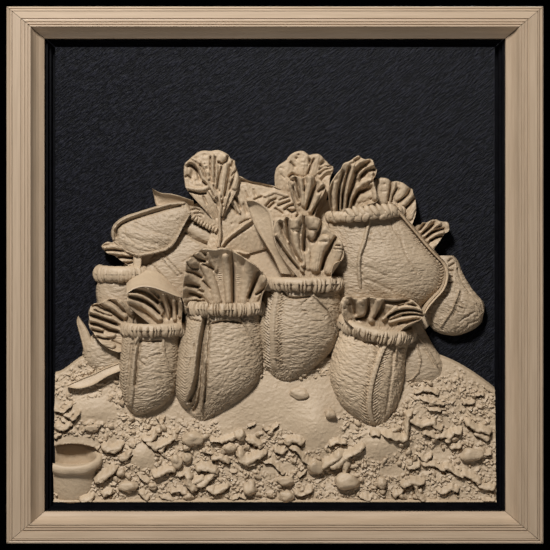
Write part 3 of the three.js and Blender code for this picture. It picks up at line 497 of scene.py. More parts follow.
# %% Folds and slits on the bodies, in millimetres
BODY_FOLDS = {
    "front_middle": [
        ([(-37.2, -21.6), (-38.6, -33.4), (-39.5, -42.9), (-39.6, -53), (-40, -63.1),
          (-41.4, -75.4)], 0.7, 2.4),
        ([(-45.5, -26.1), (-47.8, -37.3), (-49.3, -48.5), (-50.4, -61.4), (-50.6, -69)], 6, 2.9),
        ([(-41.2, -25.5), (-43, -36), (-44.7, -47), (-45.5, -56), (-47.4, -64), (-50.4, -70.5)], 1.6, 3.5),
        ([(-39, -25.5), (-40.7, -36), (-42.2, -47), (-42.9, -56), (-44.8, -64), (-47.6, -70.5)], 1.4, -6),
        ([(-38.4, -28), (-40, -41.6), (-40.9, -52.8), (-41.4, -61.7), (-43, -70.7), (-45.5, -76)], 1.2, -5.5),
        ([(-42.4, -59), (-44.2, -67), (-46.4, -73)], 1.8, -4),
        ([(-36.2, -26.1), (-37.2, -39), (-37.8, -50.2), (-38.4, -61.4), (-39.6, -70.9)], 0.6, -2.6),
        ([(-46.2, -74.8), (-44, -72.6)], 2.2, -2.2),
        ([(-21, -22.7), (-16.5, -28.9), (-13.1, -36.2), (-10.3, -42.9), (-8.1, -49.6)], 0.5, 1.2),
        ([(-35, -27.2), (-29.9, -26), (-23.2, -26.1), (-18.7, -27.1)], 0.6, -2.8),
        ([(-49.6, -23.3), (-47.3, -25.2), (-41.7, -26.1)], 0.6, -2),
        ([(-49, -36.2), (-50.1, -39.5)], 0.4, -1.2), ([(-49.6, -42.9), (-51.2, -47.4)], 0.4, -1.2),
        ([(-46.8, -46.2), (-47.9, -50.7)], 0.4, -1), ([(-45.1, -38.4), (-45.6, -41.8)], 0.4, -1),
        ([(-55.7, -62.2), (-54.6, -62.8)], 0.5, -1.6), ([(-47.3, -30.6), (-47.9, -32.8)], 0.4, -1),
    ],
    "front_left": [
        ([(-77, -35), (-78.6, -47.4), (-79.5, -55.8), (-80.4, -64.2), (-81.6, -72)], 1.8, 2.3),
        ([(-75.6, -36.7), (-76.7, -44.6), (-77.6, -53), (-78.4, -61.4)], 0.8, -2.8),
        ([(-80.4, -39), (-81.6, -50.2), (-82.8, -61.4), (-83.5, -69.8)], 0.8, -1.8),
        ([(-80.4, -42.3), (-79.3, -42.3)], 0.5, -1.6), ([(-81.5, -45.7), (-80.4, -45.7)], 0.4, -1.3),
        ([(-81.8, -48.8), (-80.7, -49.1)], 0.5, -1.6), ([(-82.1, -51.9), (-80.4, -52.1)], 0.5, -1.8),
        ([(-82.9, -55.2), (-81.8, -54.1)], 0.5, -1.8), ([(-83.2, -58.9), (-82.1, -58.3)], 0.5, -2),
        ([(-84, -61.9), (-82.9, -60.8)], 0.4, -1.4), ([(-83.8, -64.7), (-82.9, -64.7)], 0.4, -1.4),
        ([(-84.3, -67.6), (-83.2, -67.6)], 0.4, -1.6), ([(-84, -71.5), (-82.6, -72)], 0.6, -2.2),
        ([(-76.5, -37), (-70.3, -37.2), (-63.6, -37)], 0.5, -2), ([(-76.5, -36.7), (-77.6, -39.5)], 0.5, -2),
        ([(-61.9, -32.2), (-62.2, -39), (-61.3, -45.7), (-59.6, -50.7), (-58, -54.1)], 0.6, 1.4),
        ([(-74.2, -46.2), (-72, -46.8)], 0.6, -1), ([(-75.9, -47.9), (-73.1, -50.2)], 0.6, -1.4),
        ([(-70.3, -45.7), (-66.9, -44.6), (-63.6, -44)], 0.4, -1),
    ],
    "centre": [
        ([(21.7, -11.5), (25.6, -14.9), (29.5, -18.8), (31.8, -23.3), (34, -28.9), (36.2, -35.1)], 0.6, 1.6),
        ([(25.6, -16.6), (29.5, -20.5), (31.8, -25.5), (33.4, -29.5)], 0.6, -1.2),
        ([(2.6, -7.9), (4.8, -9.8), (7.4, -12.6), (11, -13), (14.9, -12.8), (19.4, -12.1)], 0.6, -2.8),
        ([(25.6, -10.1), (29.5, -9), (34, -8.1)], 0.4, -1.6), ([(-3, -5.9), (-0.2, -8.4)], 0.5, -2.4),
        ([(-3.6, -9.3), (-1.3, -10.4)], 0.5, -2), ([(14.9, -16.6), (18.9, -13.2)], 0.4, -0.9),
        ([(0.9, -36.8), (3.1, -39)], 0.4, -1.2), ([(0.3, -46.6), (3.7, -48)], 0.5, 1),
        ([(15.5, -19.9), (17.7, -20.2)], 0.4, -1.4),
    ],
    "front_right": [
        ([(39, -30.6), (42.9, -33.1), (46.3, -35.9), (50.8, -37.6), (56.4, -38.1)], 0.6, -2),
        ([(66.2, -32.8), (66.8, -41.8), (66.2, -47.4), (65.4, -55.8), (63.7, -69.8), (62, -78.2)], 0.8, -1.2),
        ([(67.9, -32.2), (68.2, -39), (67.9, -47.4)], 0.6, 1.2), ([(69.9, -41.2), (72.7, -40.6)], 0.4, -1.4),
        ([(63.1, -37.8), (64.2, -36.7)], 0.6, -1.6),
    ],
    "right": [
        ([(53, 31.1), (52.4, 28.3), (50.2, 18.8), (47.4, 11.5), (46.8, 5.9), (47.4, -2),
          (47.9, -7.5)], 1.1, 2.2),
        ([(54.2, 24), (54, 23)], 0.4, -1), ([(53.3, 20), (53, 19)], 0.4, -1), ([(49, 6), (49, 5)], 0.4, -1),
        ([(49, 1), (49.2, 0)], 0.4, -1), ([(49.6, -3.5), (49.7, -4.5)], 0.4, -1),
        ([(65, 31.8), (66.7, 25.6), (70.7, 20.5), (74, 10), (80, 1)], 0.5, -0.9),
        ([(51, 4.5), (56, 2.6), (62, -0.6)], 0.9, -0.6), ([(51, -2.5), (58, -5), (66, -9.5)], 0.9, -0.7),
        ([(30.7, 20), (39.2, 16.6)], 0.8, 0.8),
    ],
    "back_left_low": [
        ([(-49, 28), (-42, 23.8), (-34, 19.8)], 3.4, 1.9),
        ([(-63.6, 12.7), (-58.5, 7.6), (-52.8, 1.4)], 0.4, 1),
        ([(-65.3, 11), (-60.2, 5.9), (-55.1, 0.3)], 0.4, 0.9),
        ([(-74.9, 9.9), (-68.1, 4.2), (-63.6, -0.8)], 0.5, -1.2), ([(-63.6, -0.8), (-58.5, -7.1)], 0.5, -0.9),
        ([(-50.6, 24), (-46, 20.1), (-40.4, 17.8), (-34.7, 16.7)], 0.7, -2),
        ([(-51.7, 7.6), (-43.8, 12.2)], 0.4, -0.6),
    ],
    "far_right": [
        ([(104, -8.8), (102, -13.8), (99.8, -19.5), (96.9, -24), (93.6, -29.1)], 0.6, 1.3),
        ([(105.1, -12.1), (103.2, -17.2), (100.6, -22.9)], 0.5, -0.9), ([(98.6, 2.5), (100.9, 2.5)], 0.5, -2),
        ([(98.6, -0.8), (100.3, -1.1)], 0.5, -1.8), ([(98.1, -4.2), (100.3, -4.2)], 0.5, -2),
        ([(98.1, 7.6), (100.3, 9.3)], 0.5, -1.6), ([(98.6, 4.8), (101.5, 6.5)], 0.5, -1.6),
        ([(100.3, 10.5), (103.2, 7.6), (103.2, 4.2)], 0.8, 1.2),
        ([(103.2, 7.6), (103.7, 2), (106, -4.2), (109.9, -9.9)], 0.5, -1.2),
        ([(106, 2), (111.1, -7.6), (116.7, -14.4), (118.4, -19.5), (117.9, -24.6)], 0.5, 1.4),
        ([(107.7, -8.2), (113.3, -15.5), (115.6, -20.6)], 0.4, 0.8),
        ([(102, -15.5), (104.3, -16.7)], 0.4, -1.2), ([(104.3, -15.5), (106.6, -17.2)], 0.4, -1.2),
        ([(103.7, -17.8), (106, -18.9)], 0.4, -1.2), ([(102, -20.1), (103.7, -21.2)], 0.4, -1),
        ([(107.7, -24), (112.2, -21.2)], 0.5, -1), ([(104.3, -26.3), (107.7, -23.4)], 0.4, -1),
        ([(109.9, -27.4), (114.5, -25.7)], 0.5, -1),
    ],
    "right_low": [
        ([(75.7, -28), (79.6, -33.1), (84.2, -39.4), (88.1, -45), (91.5, -51.8)], 0.5, 1.4),
        ([(80.2, -39.4), (82.2, -47.9), (80.8, -54.7), (77.4, -58.6), (74, -60.3)], 0.5, 1.2),
        ([(84.2, -42.2), (87.6, -46.7), (89.8, -51.3)], 0.5, -0.8),
    ],
}


# %% The line of a body and its half-width
for pitcher in PITCHERS.values():
    squared = [(x, z, half * half) for x, z, half in pitcher["rows"]]
    pitcher["line"] = smooth_line(squared)
    pitcher["length"] = line_length(pitcher["line"])
    pitcher["widest"] = max(half for x, z, half in pitcher["rows"])


def station_of(pitcher, share):
    x, z, squared = place_on(pitcher["line"], share)
    side = Vector((1.0, 0.0))
    if "slope" in pitcher:
        side.rotate(Matrix.Rotation(math.radians(pitcher["slope"]) * (1.0 - soft_step(0.0, 0.5, share)), 2))
    return Vector((x, z)), Vector((side.y, -side.x)), side, math.sqrt(max(squared, 0.0))


def share_along(row):
    return blend(row, math.sin(row * math.pi / 2.0), 0.55)


print("pitchers:", {name: round(pitcher["length"], 1) for name, pitcher in PITCHERS.items()})


# %% Ridges and the pitchers' skins
RIDGE_REACH = 9.0


def ridge_height(ridge, share, across, along, half):
    kind, start, end, width, proud = ridge
    part = (share - start[0]) / (end[0] - start[0])
    fade = soft_step(-0.03, 0.04, part) * (1.0 - soft_step(0.93, 1.03, part))
    away = (across - blend(start[1], end[1], part)) * half
    if fade == 0.0 or abs(away) > RIDGE_REACH:
        return 0.0, 1.0
    pleat = 0.5 * math.cos((along + abs(away) * 0.8) * 3.7 + 2.6 * grain(along * 0.3, away * 0.4, width))
    if kind == "pleats":
        return proud * fade * pleat * bump(away, width * 2.0), 1.0 - fade * bump(away, width * 2.0)
    flat = 1.0 - soft_step(width - 0.3, width + 0.4, abs(away))
    pits = 0.7 * bump(abs(away) - width - 0.4, 0.4) * (0.5 + 0.5 * math.cos(along * 3.4)) ** 2
    beside = bump(abs(away) - width - 1.8, 2.2) * (1.0 - flat)
    return fade * (proud * flat - pits + 0.9 * pleat * beside), 1.0 - fade * bump(away, width + 1.0)


def valley(value, width):
    return clamp(1.0 - abs(value) / width) ** 1.5


def skin_height(kind, side_way, along, lean, seed):
    turn = math.radians(lean)
    sway = 2.2 * grain(side_way * 0.11, along * 0.11, seed + 9.0)
    run = side_way * math.cos(turn) - along * math.sin(turn)
    cross = side_way * math.sin(turn) + along * math.cos(turn) + sway
    coarse = 0.5 * grain(side_way * 0.09, along * 0.09, seed + 3.0)
    if kind == "hatched":
        return (
            coarse + 0.24 * grain(run * 0.12, cross * 1.3, seed)
            + 0.24 * grain(run * 1.3, cross * 0.12, seed)
        )
    fine = 0.2 * grain(run * 0.5, cross * 1.5, seed + 5.0)
    deep = valley(grain(run * 0.2, cross * 0.8, seed), 0.24)
    if kind == "wavy":
        swelling = 0.36 * grain(run * 0.16, cross * 0.62, seed + 21.0)
        return coarse + swelling + fine - 0.5 * deep
    cells = noise.voronoi(Vector((run * 0.42, cross * 0.72, seed)))[0]
    crack = 1.0 - soft_step(0.0, 0.2, cells[1] - cells[0])
    return coarse + fine - 0.22 * deep - 0.26 * crack


# %% A body's front, point by point
COLLAR_BELOW = 9.5
SLENDER_HALF = 6.0
BODY_COLUMNS_PER_MM = 5.0
BODY_ROWS_PER_MM = 2.5
BODY_UNDERCUT = 0.94


def body_point(pitcher, share, across, raise_by, fold=0.0):
    middle, down, side, half = station_of(pitcher, share)
    roundness = blend(0.84, 1.0, math.sin(math.pi * clamp(share * 1.1) ** 1.2))
    swell = pitcher["swell"] * (half / pitcher["widest"]) ** 0.75 * roundness
    angle = math.acos(clamp(across, -1.0, 1.0))
    reach = (half + raise_by) * math.cos(angle)
    spot = middle + side * reach
    forward = (swell + raise_by) * math.sin(angle) + fold * math.sqrt(math.sin(angle))
    return on_panel(spot.x, spot.y, pitcher["level"] + forward)


def pitcher_body(name, pitcher, seed):
    folds = with_boxes(BODY_FOLDS.get(name, []))

    def point_at(u, v):
        share = share_along(v)
        angle = math.pi * (1.0 - u)
        across = math.cos(angle)
        half = station_of(pitcher, share)[3]
        along = share * pitcher["length"]
        side_way = pitcher["widest"] * (math.pi / 2 - angle)
        bare = body_point(pitcher, share, across, 0.0) / MM
        slender = min(1.0, half / SLENDER_HALF)
        fold = folds_height(bare.x, bare.z, folds) * slender
        raise_by = 0.0
        calm = soft_step(0.3, 1.0, along / COLLAR_BELOW) * soft_step(0.0, 0.15, math.sin(angle))
        calm *= 1.0 - 0.45 * soft_step(0.3, 1.2, abs(fold))
        for ridge in pitcher["ridges"]:
            proud, keep = ridge_height(ridge, share, across, along, half)
            raise_by += proud
            calm *= keep
        lean = blend(*pitcher["lean"], share)
        raise_by += calm * skin_height(pitcher["skin"], side_way, along, lean, seed)
        return body_point(pitcher, share, across, raise_by * slender, fold)

    fineness = pitcher.get("fineness", 1.0)
    columns = round(pitcher["widest"] * BODY_COLUMNS_PER_MM * fineness)
    rows = round(pitcher["length"] * BODY_ROWS_PER_MM * fineness)
    mesh = close_to_panel(shaped_grid(columns, rows, point_at), BODY_UNDERCUT)
    # Wrinkled bodies take the clay darkened with painted shade.
    finish = pale_wrinkled_tan if pitcher.get("finish") == "pale" else wrinkled_tan_painted_shade
    return add_relief_piece(mesh, f"pitcher_{name}", finish)


for index, (name, pitcher) in enumerate(PITCHERS.items()):
    pitcher_body(name, pitcher, 17.0 * index)
print("bodies:", sum(triangle_count.values()), "triangles")

# %% [markdown]
# ## The rolled rims
# Round the front of each mouth lies a fat roll, smooth on top and cut into short ribs below, like the
# fringe of a knitted cuff. Each rim is a tube that follows the mouth, and narrow slits of uneven length
# part its ribs. Sag lets the middle of a rim hang, and slant turns its ribs.

# %% Rims: ribs, thickness, how deep the slits are, and where they start on the way down
RIMS = {
    "front_left": dict(ribs=22, thick=2.8, gap=0.55, start=(-0.7, -0.5)),
    "front_middle": dict(ribs=34, thick=2.8, gap=0.6, start=(-1.2, -1.2)),
    "centre": dict(ribs=30, thick=3.1, gap=0.55, start=(-0.3, -0.8)),
    "front_right": dict(ribs=34, thick=2.9, gap=0.55, start=(0.1, -1.0), sag=4.6),
    "right": dict(ribs=17, thick=2.3, gap=0.3, start=(-1.2, -1.2), slant=0.3),
    "left_small": dict(ribs=24, thick=3.6, gap=0.08, start=(-0.8, -0.8)),
}
MOUTH_PINCH = 0.92
RIM_OVERRUN = 0.04
RIM_LENGTHENING = 1.35
RIM_SAG = 1.4
RIM_ROWS = 28
RIM_COLUMN_WIDTH = 0.24
RIM_LEAST_COLUMNS = 60
SLIT_HALF = 0.4


def rolled_rim(name, ribs, thick, gap, start, slant=0.0, sag=RIM_SAG):
    pitcher = PITCHERS[name]
    middle, down, side, half = station_of(pitcher, 0.0)
    bulge = pitcher["swell"] * MOUTH_PINCH + 0.8
    pitch = math.pi * half / ribs

    def point_at(u, v):
        angle = math.pi * blend(1.0 + RIM_OVERRUN, -RIM_OVERRUN, u)
        round_way = 2.0 * math.pi * v
        out = math.cos(round_way)
        along = math.sin(round_way)
        place = (
            u * ribs + 0.6 * grain(u * ribs * 0.6, 3.0, thick) + slant * along
            + 0.2 * grain(u * 30.0, along)
        )
        rib = math.floor(place)
        to_slit = pitch * min(place - rib, rib + 1.0 - place)
        top = blend(*start, u) + 0.35 * noise.cell(Vector((rib, thick, gap)))
        opened = soft_step(top, top + 0.5, along) * soft_step(-0.75, 0.0, out)
        fat = thick * (1.0 - gap * bump(to_slit, SLIT_HALF) * opened)
        fat *= (
            1.0 + 0.16 * opened * noise.cell(Vector((rib, 7.0, thick)))
            + 0.08 * grain(u * 14.0, v * 3.0, 4.0)
        )
        across = (half + 0.6 + fat * out) * math.cos(angle)
        drop = (
            fat * RIM_LENGTHENING * along + sag * math.sin(angle) * (half / 20.0)
            - 0.5 * (sag - RIM_SAG)
        )
        spot = middle + side * across + down * drop
        return on_panel(spot.x, spot.y, pitcher["level"] + (bulge + fat * out) * math.sin(angle))

    columns = max(round(math.pi * half / RIM_COLUMN_WIDTH), RIM_LEAST_COLUMNS)
    mesh = close_tube(shaped_grid(columns, RIM_ROWS, point_at))
    return add_relief_piece(mesh, f"rim_{name}")


for name, rim in RIMS.items():
    rolled_rim(name, **rim)
print("bodies and rims:", sum(triangle_count.values()), "triangles")

# %% [markdown]
# ## The fluted lids
# Over each mouth stands a lid, a fan of fat fingers that part towards its scalloped edge. Where a lid hoods
# its mouth, the edge comes forward and leaves the fingers below it in shade. A lid is a sheet between a
# short base line, which hides behind the rim, and its outer edge, which is given from the lower left round
# the top to the lower right. Level is the base's height, lift is how far the edge stands forward, and curl
# how late it does so; dip lowers the middle and cup brings the sides forward. Folds are drawn as lines with
# a half-width and a height: a finger rises with a round section and a slit sinks. Knobs are round bumps or
# pits, and a hatch is a patch of short level creases.

# %% Lids: places and sizes in millimetres
LIDS = {
    "back_sheet": dict(
        base=[(-31.8, 7.6), (13.9, 20)],
        edge=[(-39.1, 14.4), (-35.8, 26.8), (-31.8, 36.9), (-27.9, 44.8), (-23.9, 51.6), (-20.5, 55.8),
              (-17.1, 54.4), (-13.8, 53), (-7.6, 51.9), (-1.9, 50.6), (0.9, 49.8), (4.3, 47.7), (9.4, 44.8),
              (13.9, 40.3), (18.4, 33.6)],
        folds=[
               ([(-21.1, 56.1), (-17.1, 54.5), (-13.8, 53.1), (-7.6, 52.1), (-1.9, 50.7),
                 (2.6, 48.8)], 0.5, 1.9),
               ([(-25.6, 44.3), (-22.2, 40.3), (-20, 35.3)], 0.9, 1.7),
               ([(-30.7, 15.5), (-28.4, 19.2), (-25, 22.3), (-20, 25.9), (-13.8, 30.5)], 1.0, 2.0),
               ([(-17.7, 49.9), (-13.2, 42.6), (-7.6, 39.8)], 2.8, 1),
               ([(-5.9, 44.8), (-0.2, 47.1), (7.1, 44.8)], 1.1, 1),
               ([(-28.4, 13.3), (-20, 13), (-10.9, 10.2), (-1.9, 9.3)], 0.9, 1.7),
               ([(-19.4, 53.6), (-14.3, 52.1), (-7.6, 50.8), (-1.9, 49.4)], 0.5, -2),
               ([(-25, 45.7), (-21.7, 42.6), (-19.7, 38.1)], 0.7, -3.4),
               ([(-26.7, 42), (-23.9, 38.1), (-21.1, 34.4)], 0.5, -2.5),
               ([(-11.5, 42.6), (-7.6, 44.3)], 0.5, -2.2),
               ([(-29.6, 14.9), (-25.6, 19.7), (-20, 23.7), (-15.5, 26.5), (-12.1, 29)], 0.6, -1.4),
               ([(-20, 29), (-16.6, 30.9), (-13.8, 31.6)], 0.4, -2),
               ([(-5.3, 38.6), (-2.5, 41.7), (0.3, 42.9)], 0.6, -2.8),
               ([(-3.6, 38.1), (-0.8, 40.6)], 0.8, -3.4), ([(2, 39.2), (5.4, 40.6), (8.2, 41.7)], 0.6, -2.8),
               ([(5.4, 36.9), (8.2, 38.9), (11.1, 39.8)], 0.6, -3.1),
               ([(7.1, 36.9), (9.6, 35.4), (12.7, 36.9)], 0.6, -3.6), ([(0.3, 37.5), (4.3, 34.7)], 0.5, -2),
               ([(12.2, 33), (14.4, 35.3)], 0.5, -2.5), ([(2.6, 42.3), (7.1, 44)], 0.4, -1.7),
               ([(-16.6, 47.1), (-15.5, 43.7)], 0.5, -1.1), ([(-12.1, 48.2), (-10.9, 44.8)], 0.5, -1.1),
               ([(-17.7, 39.8), (-16, 35.3)], 0.8, -1.7)],
        knobs=[(-18.8, 52.7, 1.7, 0.9, -2), (-24.5, 28.8, 0.7, 0.5, -1), (8.2, 37.8, 1.7, 0.7, 1)],
        level=6, lift=3.5, curl=0.6, dip=-1.5,
    ),
    "back_left_jug": dict(
        base=[(-76, 10.4), (-68.2, 11.8), (-61.9, 13.6), (-57.6, 16.6), (-54.7, 21.3), (-51.8, 27),
              (-47.8, 34.1)],
        edge=[(-77.5, 10.2), (-84, 12.6), (-90.3, 17.4), (-93, 23), (-91, 29), (-85.4, 33.2), (-76.8, 36.1),
              (-67.6, 39), (-59.7, 41.2), (-51, 41.5), (-47.4, 37)],
        folds=[([(-48, 33.4), (-52, 27), (-54.9, 21.3), (-57.8, 16.9), (-61.9, 14.2), (-68.2, 12.4),
                 (-75.4, 11.2)], 1.1, 2.2),
               ([(-91.4, 20), (-91.6, 25.1), (-88.8, 29.4), (-84.3, 32.2), (-76.4, 35.1), (-67.3, 38),
                 (-59.4, 40.2), (-51.5, 40.8)], 0.9, 2.2),
               ([(-90.8, 18.8), (-84.4, 13.2), (-78, 10.8)], 0.8, 1.4),
               ([(-89.5, 21.6), (-89.5, 25.9), (-86.9, 28.6), (-81.3, 31.2), (-71, 34.5), (-61.4, 37.2),
                 (-53.5, 39)], 0.6, -2.4),
               ([(-82, 24), (-72, 21.5), (-62, 20)], 2.6, 0.8),
               ([(-84, 19), (-76, 15.5), (-66, 15)], 1.6, 0.6),
               ([(-86, 23.5), (-78, 17), (-70, 14.5)], 0.5, -0.5),
               ([(-80, 30), (-70, 25), (-60, 22)], 0.6, -0.4)],
        knobs=[(-92.2, 27.6, 0.9, 1.2, 1.2), (-91.2, 30.4, 1.1, 0.7, 1.0), (-88.8, 32, 1.0, 0.6, 0.8)],
        level=9.8, lift=-3, curl=1.2, dip=-2.4, wrinkled=True,
    ),
    "back_middle": dict(
        base=[(4.9, 34.7), (24.1, 34.7)],
        edge=[(2, 42.7), (0.3, 47.2), (-0.2, 52.3), (-0.2, 56.8), (0.9, 60.7), (2.6, 62.4), (6, 64.7),
              (8.2, 67.5), (10.5, 69.2), (13.3, 70.1), (16.2, 70.1), (18.4, 68.4), (19.5, 67.8), (21.8, 68.4),
              (24.6, 68.4), (26.9, 66.7), (28.6, 64.7), (29.7, 63.8), (30.8, 62.4), (32.5, 61.6),
              (33.1, 59.6),
              (31.4, 55.6), (30.8, 50.6), (29.7, 44.9), (28, 39.3)],
        folds=[([(16.7, 67.5), (15.6, 58.5)], 2.8, 1.4), ([(24.1, 66.4), (20.7, 58.5)], 3.4, 1.6),
               ([(6, 60.7), (9.4, 51.7)], 4.5, 1.3), ([(24.1, 57.9), (27.5, 61), (31.4, 62.4)], 0.6, 1),
               ([(25.2, 55.1), (28.6, 58.5), (32, 59.3)], 0.7, 1), ([(3.2, 60.7), (4.9, 59.6)], 0.5, -0.8),
               ([(3.2, 56.8), (5.4, 54.8)], 0.4, -1), ([(25.2, 59.6), (28, 61.3), (32, 61.7)], 0.5, -2),
               ([(25.2, 57.1), (28, 59.3), (32, 60.5)], 0.5, -1.5),
               ([(26.3, 53.4), (28.6, 56.2), (31.4, 56.8)], 0.5, -1.1), ([(19.8, 65), (19.8, 63)], 0.6, -2.8),
               ([(21.8, 65.3), (20.1, 61.3), (18.7, 57.3)], 0.6, -3.6),
               ([(8.8, 63.6), (11.1, 61.3)], 0.6, -2.8), ([(27.2, 63.6), (25.8, 62.7)], 0.9, -2.2),
               ([(8.2, 55.6), (9.9, 57.1), (12.8, 55.4)], 0.7, -3.1)],
        knobs=[(12.2, 66.1, 0.7, 0.7, -2.2), (13.3, 67.8, 0.9, 0.5, -1.4), (15.6, 64.7, 1.1, 0.7, 0.7),
               (16.2, 62.4, 1.4, 0.6, 0.7), (15.6, 60.5, 1, 0.6, 0.6), (13.3, 63.6, 0.9, 0.7, 0.5),
               (17.9, 66.9, 0.8, 1.1, 0.5)],
        level=5, lift=4, curl=0.8,
    ),
    "back_left": dict(
        base=[(-34.1, 30.2), (-29.6, 30.2)],
        edge=[(-40.8, 38.6), (-46.5, 44.3), (-49.9, 48.2), (-51, 52.2), (-51.5, 58.4), (-51, 62.3),
              (-49.3, 64.3), (-46.5, 66.8), (-43.1, 69.4), (-39.7, 70.2), (-36.3, 69.9), (-32.9, 70.5),
              (-30.1, 69.9), (-27.9, 68.8), (-26.2, 67.7), (-25, 65.7), (-22.8, 64.6), (-22.2, 61.8),
              (-21.1, 58.4), (-20.2, 55), (-20.2, 50.5), (-22.2, 46.5), (-25, 42.6), (-27.3, 37.5)],
        folds=[
               ([(-49.9, 62.9), (-46.5, 63.5), (-43.1, 60.1), (-41.4, 55.6), (-38.6, 52.7), (-35.8, 49.4),
                 (-32.9, 44.3)], 1.1, 2.6),
               ([(-47, 66.3), (-42.5, 63.5), (-39.7, 58.9), (-37.4, 54.4)], 1, 1.4),
               ([(-35.2, 67.4), (-35.2, 58.9), (-34.6, 51.6)], 1.1, 1.8),
               ([(-32.4, 61.8), (-32.9, 56.1), (-33.5, 49.9)], 0.7, 1.3),
               ([(-27.9, 61.8), (-29.6, 52.7), (-30.7, 43.7)], 1.8, 1.9),
               ([(-22.5, 60.6), (-25, 53.3)], 1, 1.8), ([(-21.1, 56.1), (-22.8, 49.4)], 1.6, 1.8),
               ([(-36.9, 47.1), (-34.1, 42.6), (-31.8, 37.5), (-31, 30.2)], 0.8, 2.3),
               ([(-33.5, 49.9), (-31.2, 42.6), (-30.4, 35.8)], 0.6, 1.7),
               ([(-25.9, 46.5), (-27.9, 40.3), (-29.8, 33.6)], 0.8, 2),
               ([(-50.4, 49.4), (-45.9, 48.2), (-40.3, 48.2), (-36.3, 50.5)], 1.4, 1.9),
               ([(-48.2, 62.3), (-45.3, 60.9), (-43.7, 58.4), (-42.5, 54.4)], 1, -4.5),
               ([(-50.4, 55.3), (-49.3, 56.1), (-47.6, 54.7)], 0.5, -2.5),
               ([(-48.2, 47.1), (-45.3, 46.5), (-42.5, 45.7), (-39.1, 46)], 0.6, -3.4),
               ([(-42, 62), (-40.3, 59.2), (-39.1, 55.6)], 0.6, -2.8),
               ([(-36.3, 66.3), (-36.3, 59.5), (-35.2, 52.2)], 0.5, -2.4),
               ([(-33.5, 66.3), (-33.7, 59.5), (-34.1, 51.6)], 0.4, -1.8),
               ([(-30.1, 60.6), (-31.8, 53.9), (-32.7, 48.2)], 0.5, -2.4),
               ([(-25, 61.8), (-26.2, 53.9), (-28.4, 44.8)], 0.6, -2.8),
               ([(-23.6, 64.3), (-24.5, 60.6)], 0.6, -2.5), ([(-22.8, 58.1), (-25, 55)], 0.5, -2.2),
               ([(-23.9, 53.6), (-25.6, 48.2)], 0.5, -2.2), ([(-40.3, 52.2), (-38.6, 50.8)], 0.6, -3.1),
               ([(-34.1, 42), (-32.1, 38.6)], 0.6, -3.4),
               ([(-31.8, 63.5), (-29.6, 62.4), (-27.3, 64), (-26.5, 66.6)], 0.6, -3.6),
               ([(-47.6, 44.8), (-44.2, 39.8)], 0.5, -1.4), ([(-40.3, 44.3), (-38.6, 40.3)], 0.6, -1.8)],
        knobs=[(-46.5, 56.7, 2.6, 4.8, -3.2), (-47.9, 58.4, 0.9, 1.7, 1.2), (-44.8, 54.1, 0.9, 0.6, 1.2),
               (-47, 52.7, 0.8, 0.6, 0.9), (-43.7, 51.3, 1.4, 0.6, 0.8), (-28.4, 66.6, 2, 2.3, 2.2),
               (-39.7, 63.2, 0.8, 0.5, 0.8), (-39.1, 61.5, 1, 0.5, 0.8), (-38.3, 59.8, 0.7, 0.5, -1),
               (-37.7, 57.8, 0.9, 0.6, 0.9), (-36.9, 55.8, 0.5, 0.5, -1.4), (-30.3, 43.7, 0.5, 0.7, -2),
               (-29.6, 40.9, 0.5, 0.8, -2), (-28.8, 38.4, 0.5, 0.6, -1.8), (-31.2, 47.1, 0.5, 0.9, -1.8),
               (-44.8, 66, 1.4, 0.5, -0.8), (-39.7, 67.7, 0.8, 0.6, -0.9)],
        level=9, lift=3.5, curl=0.8, dip=-2,
    ),
    "right_back": dict(
        base=[(59, 26.8), (71.5, 22.3)],
        edge=[(55.1, 39.2), (55.4, 44.9), (55.7, 49.4), (56.2, 53.6), (58.5, 54.8), (60.7, 55), (63.6, 54.5),
              (65.3, 53.1), (66.4, 52.8), (68.6, 53.1), (71.5, 52.5), (73.7, 51.1), (76, 49.4), (77.7, 48.5),
              (78.2, 46), (79.4, 43.2), (79.9, 38.7), (79.6, 34.2), (78.2, 30.2), (76.5, 25.1)],
        folds=[([(61.3, 52.2), (60.7, 42.6)], 3.7, 1.6), ([(67.5, 51.7), (65.8, 41.5)], 1.2, 1.6),
               ([(73.2, 50), (69.8, 43.7)], 2.7, 1.7), ([(77.7, 46), (74.3, 42.1), (70.9, 38.1)], 1.7, 2),
               ([(78.2, 38.1), (76, 32.5)], 1.7, 1.4), ([(65.8, 52.2), (65, 47.1), (64.1, 42.1)], 0.6, -3.1),
               ([(68.9, 48.8), (66.9, 45.4), (66.1, 41.5)], 0.6, -3.4),
               ([(70.3, 48.5), (68.6, 46.3)], 0.4, -1.7),
               ([(76.5, 48.3), (75.4, 45.4), (72.6, 43.2), (69.8, 41.5)], 0.6, -3.9),
               ([(78.8, 43.2), (76, 39.8), (73.2, 37)], 0.7, -3.6)],
        knobs=[(72, 38.4, 1.1, 0.5, -2), (61.9, 51.4, 0.6, 0.7, -1.2), (61.3, 47.1, 1.8, 0.5, -0.8)],
        level=5.5, lift=4, curl=0.8,
    ),
    "cuff": dict(
        base=[(-47.2, 33.2), (-40, 28.8), (-33.2, 25)],
        edge=[(-48.8, 34.5), (-48.4, 37.4), (-46, 38.6), (-42, 38), (-38, 35.6), (-34.6, 32), (-32.3, 28.6),
              (-31.8, 26)],
        folds=[([(-47.4, 36.6), (-44.6, 37.2), (-42.6, 36.4)], 0.5, -1.4),
               ([(-45.4, 34.6), (-42.4, 35), (-40.6, 34)], 0.5, -1.4), ([(-44, 33), (-41.5, 32.6)], 0.4, -1)],
        level=9.5, lift=1.5, curl=0.7,
    ),
    "back_middle_fan": dict(
        base=[(13.3, 30.1), (21.7, 30.1)],
        edge=[(12.1, 36.8), (9.3, 43), (8.2, 48.6), (7.1, 52), (7.9, 54), (9.9, 55.9), (12.7, 55.6),
              (15, 54.5), (16.6, 55.6), (18.9, 56.2), (21.7, 55.9), (22.8, 54.2), (24.5, 53.4), (26.8, 52.6),
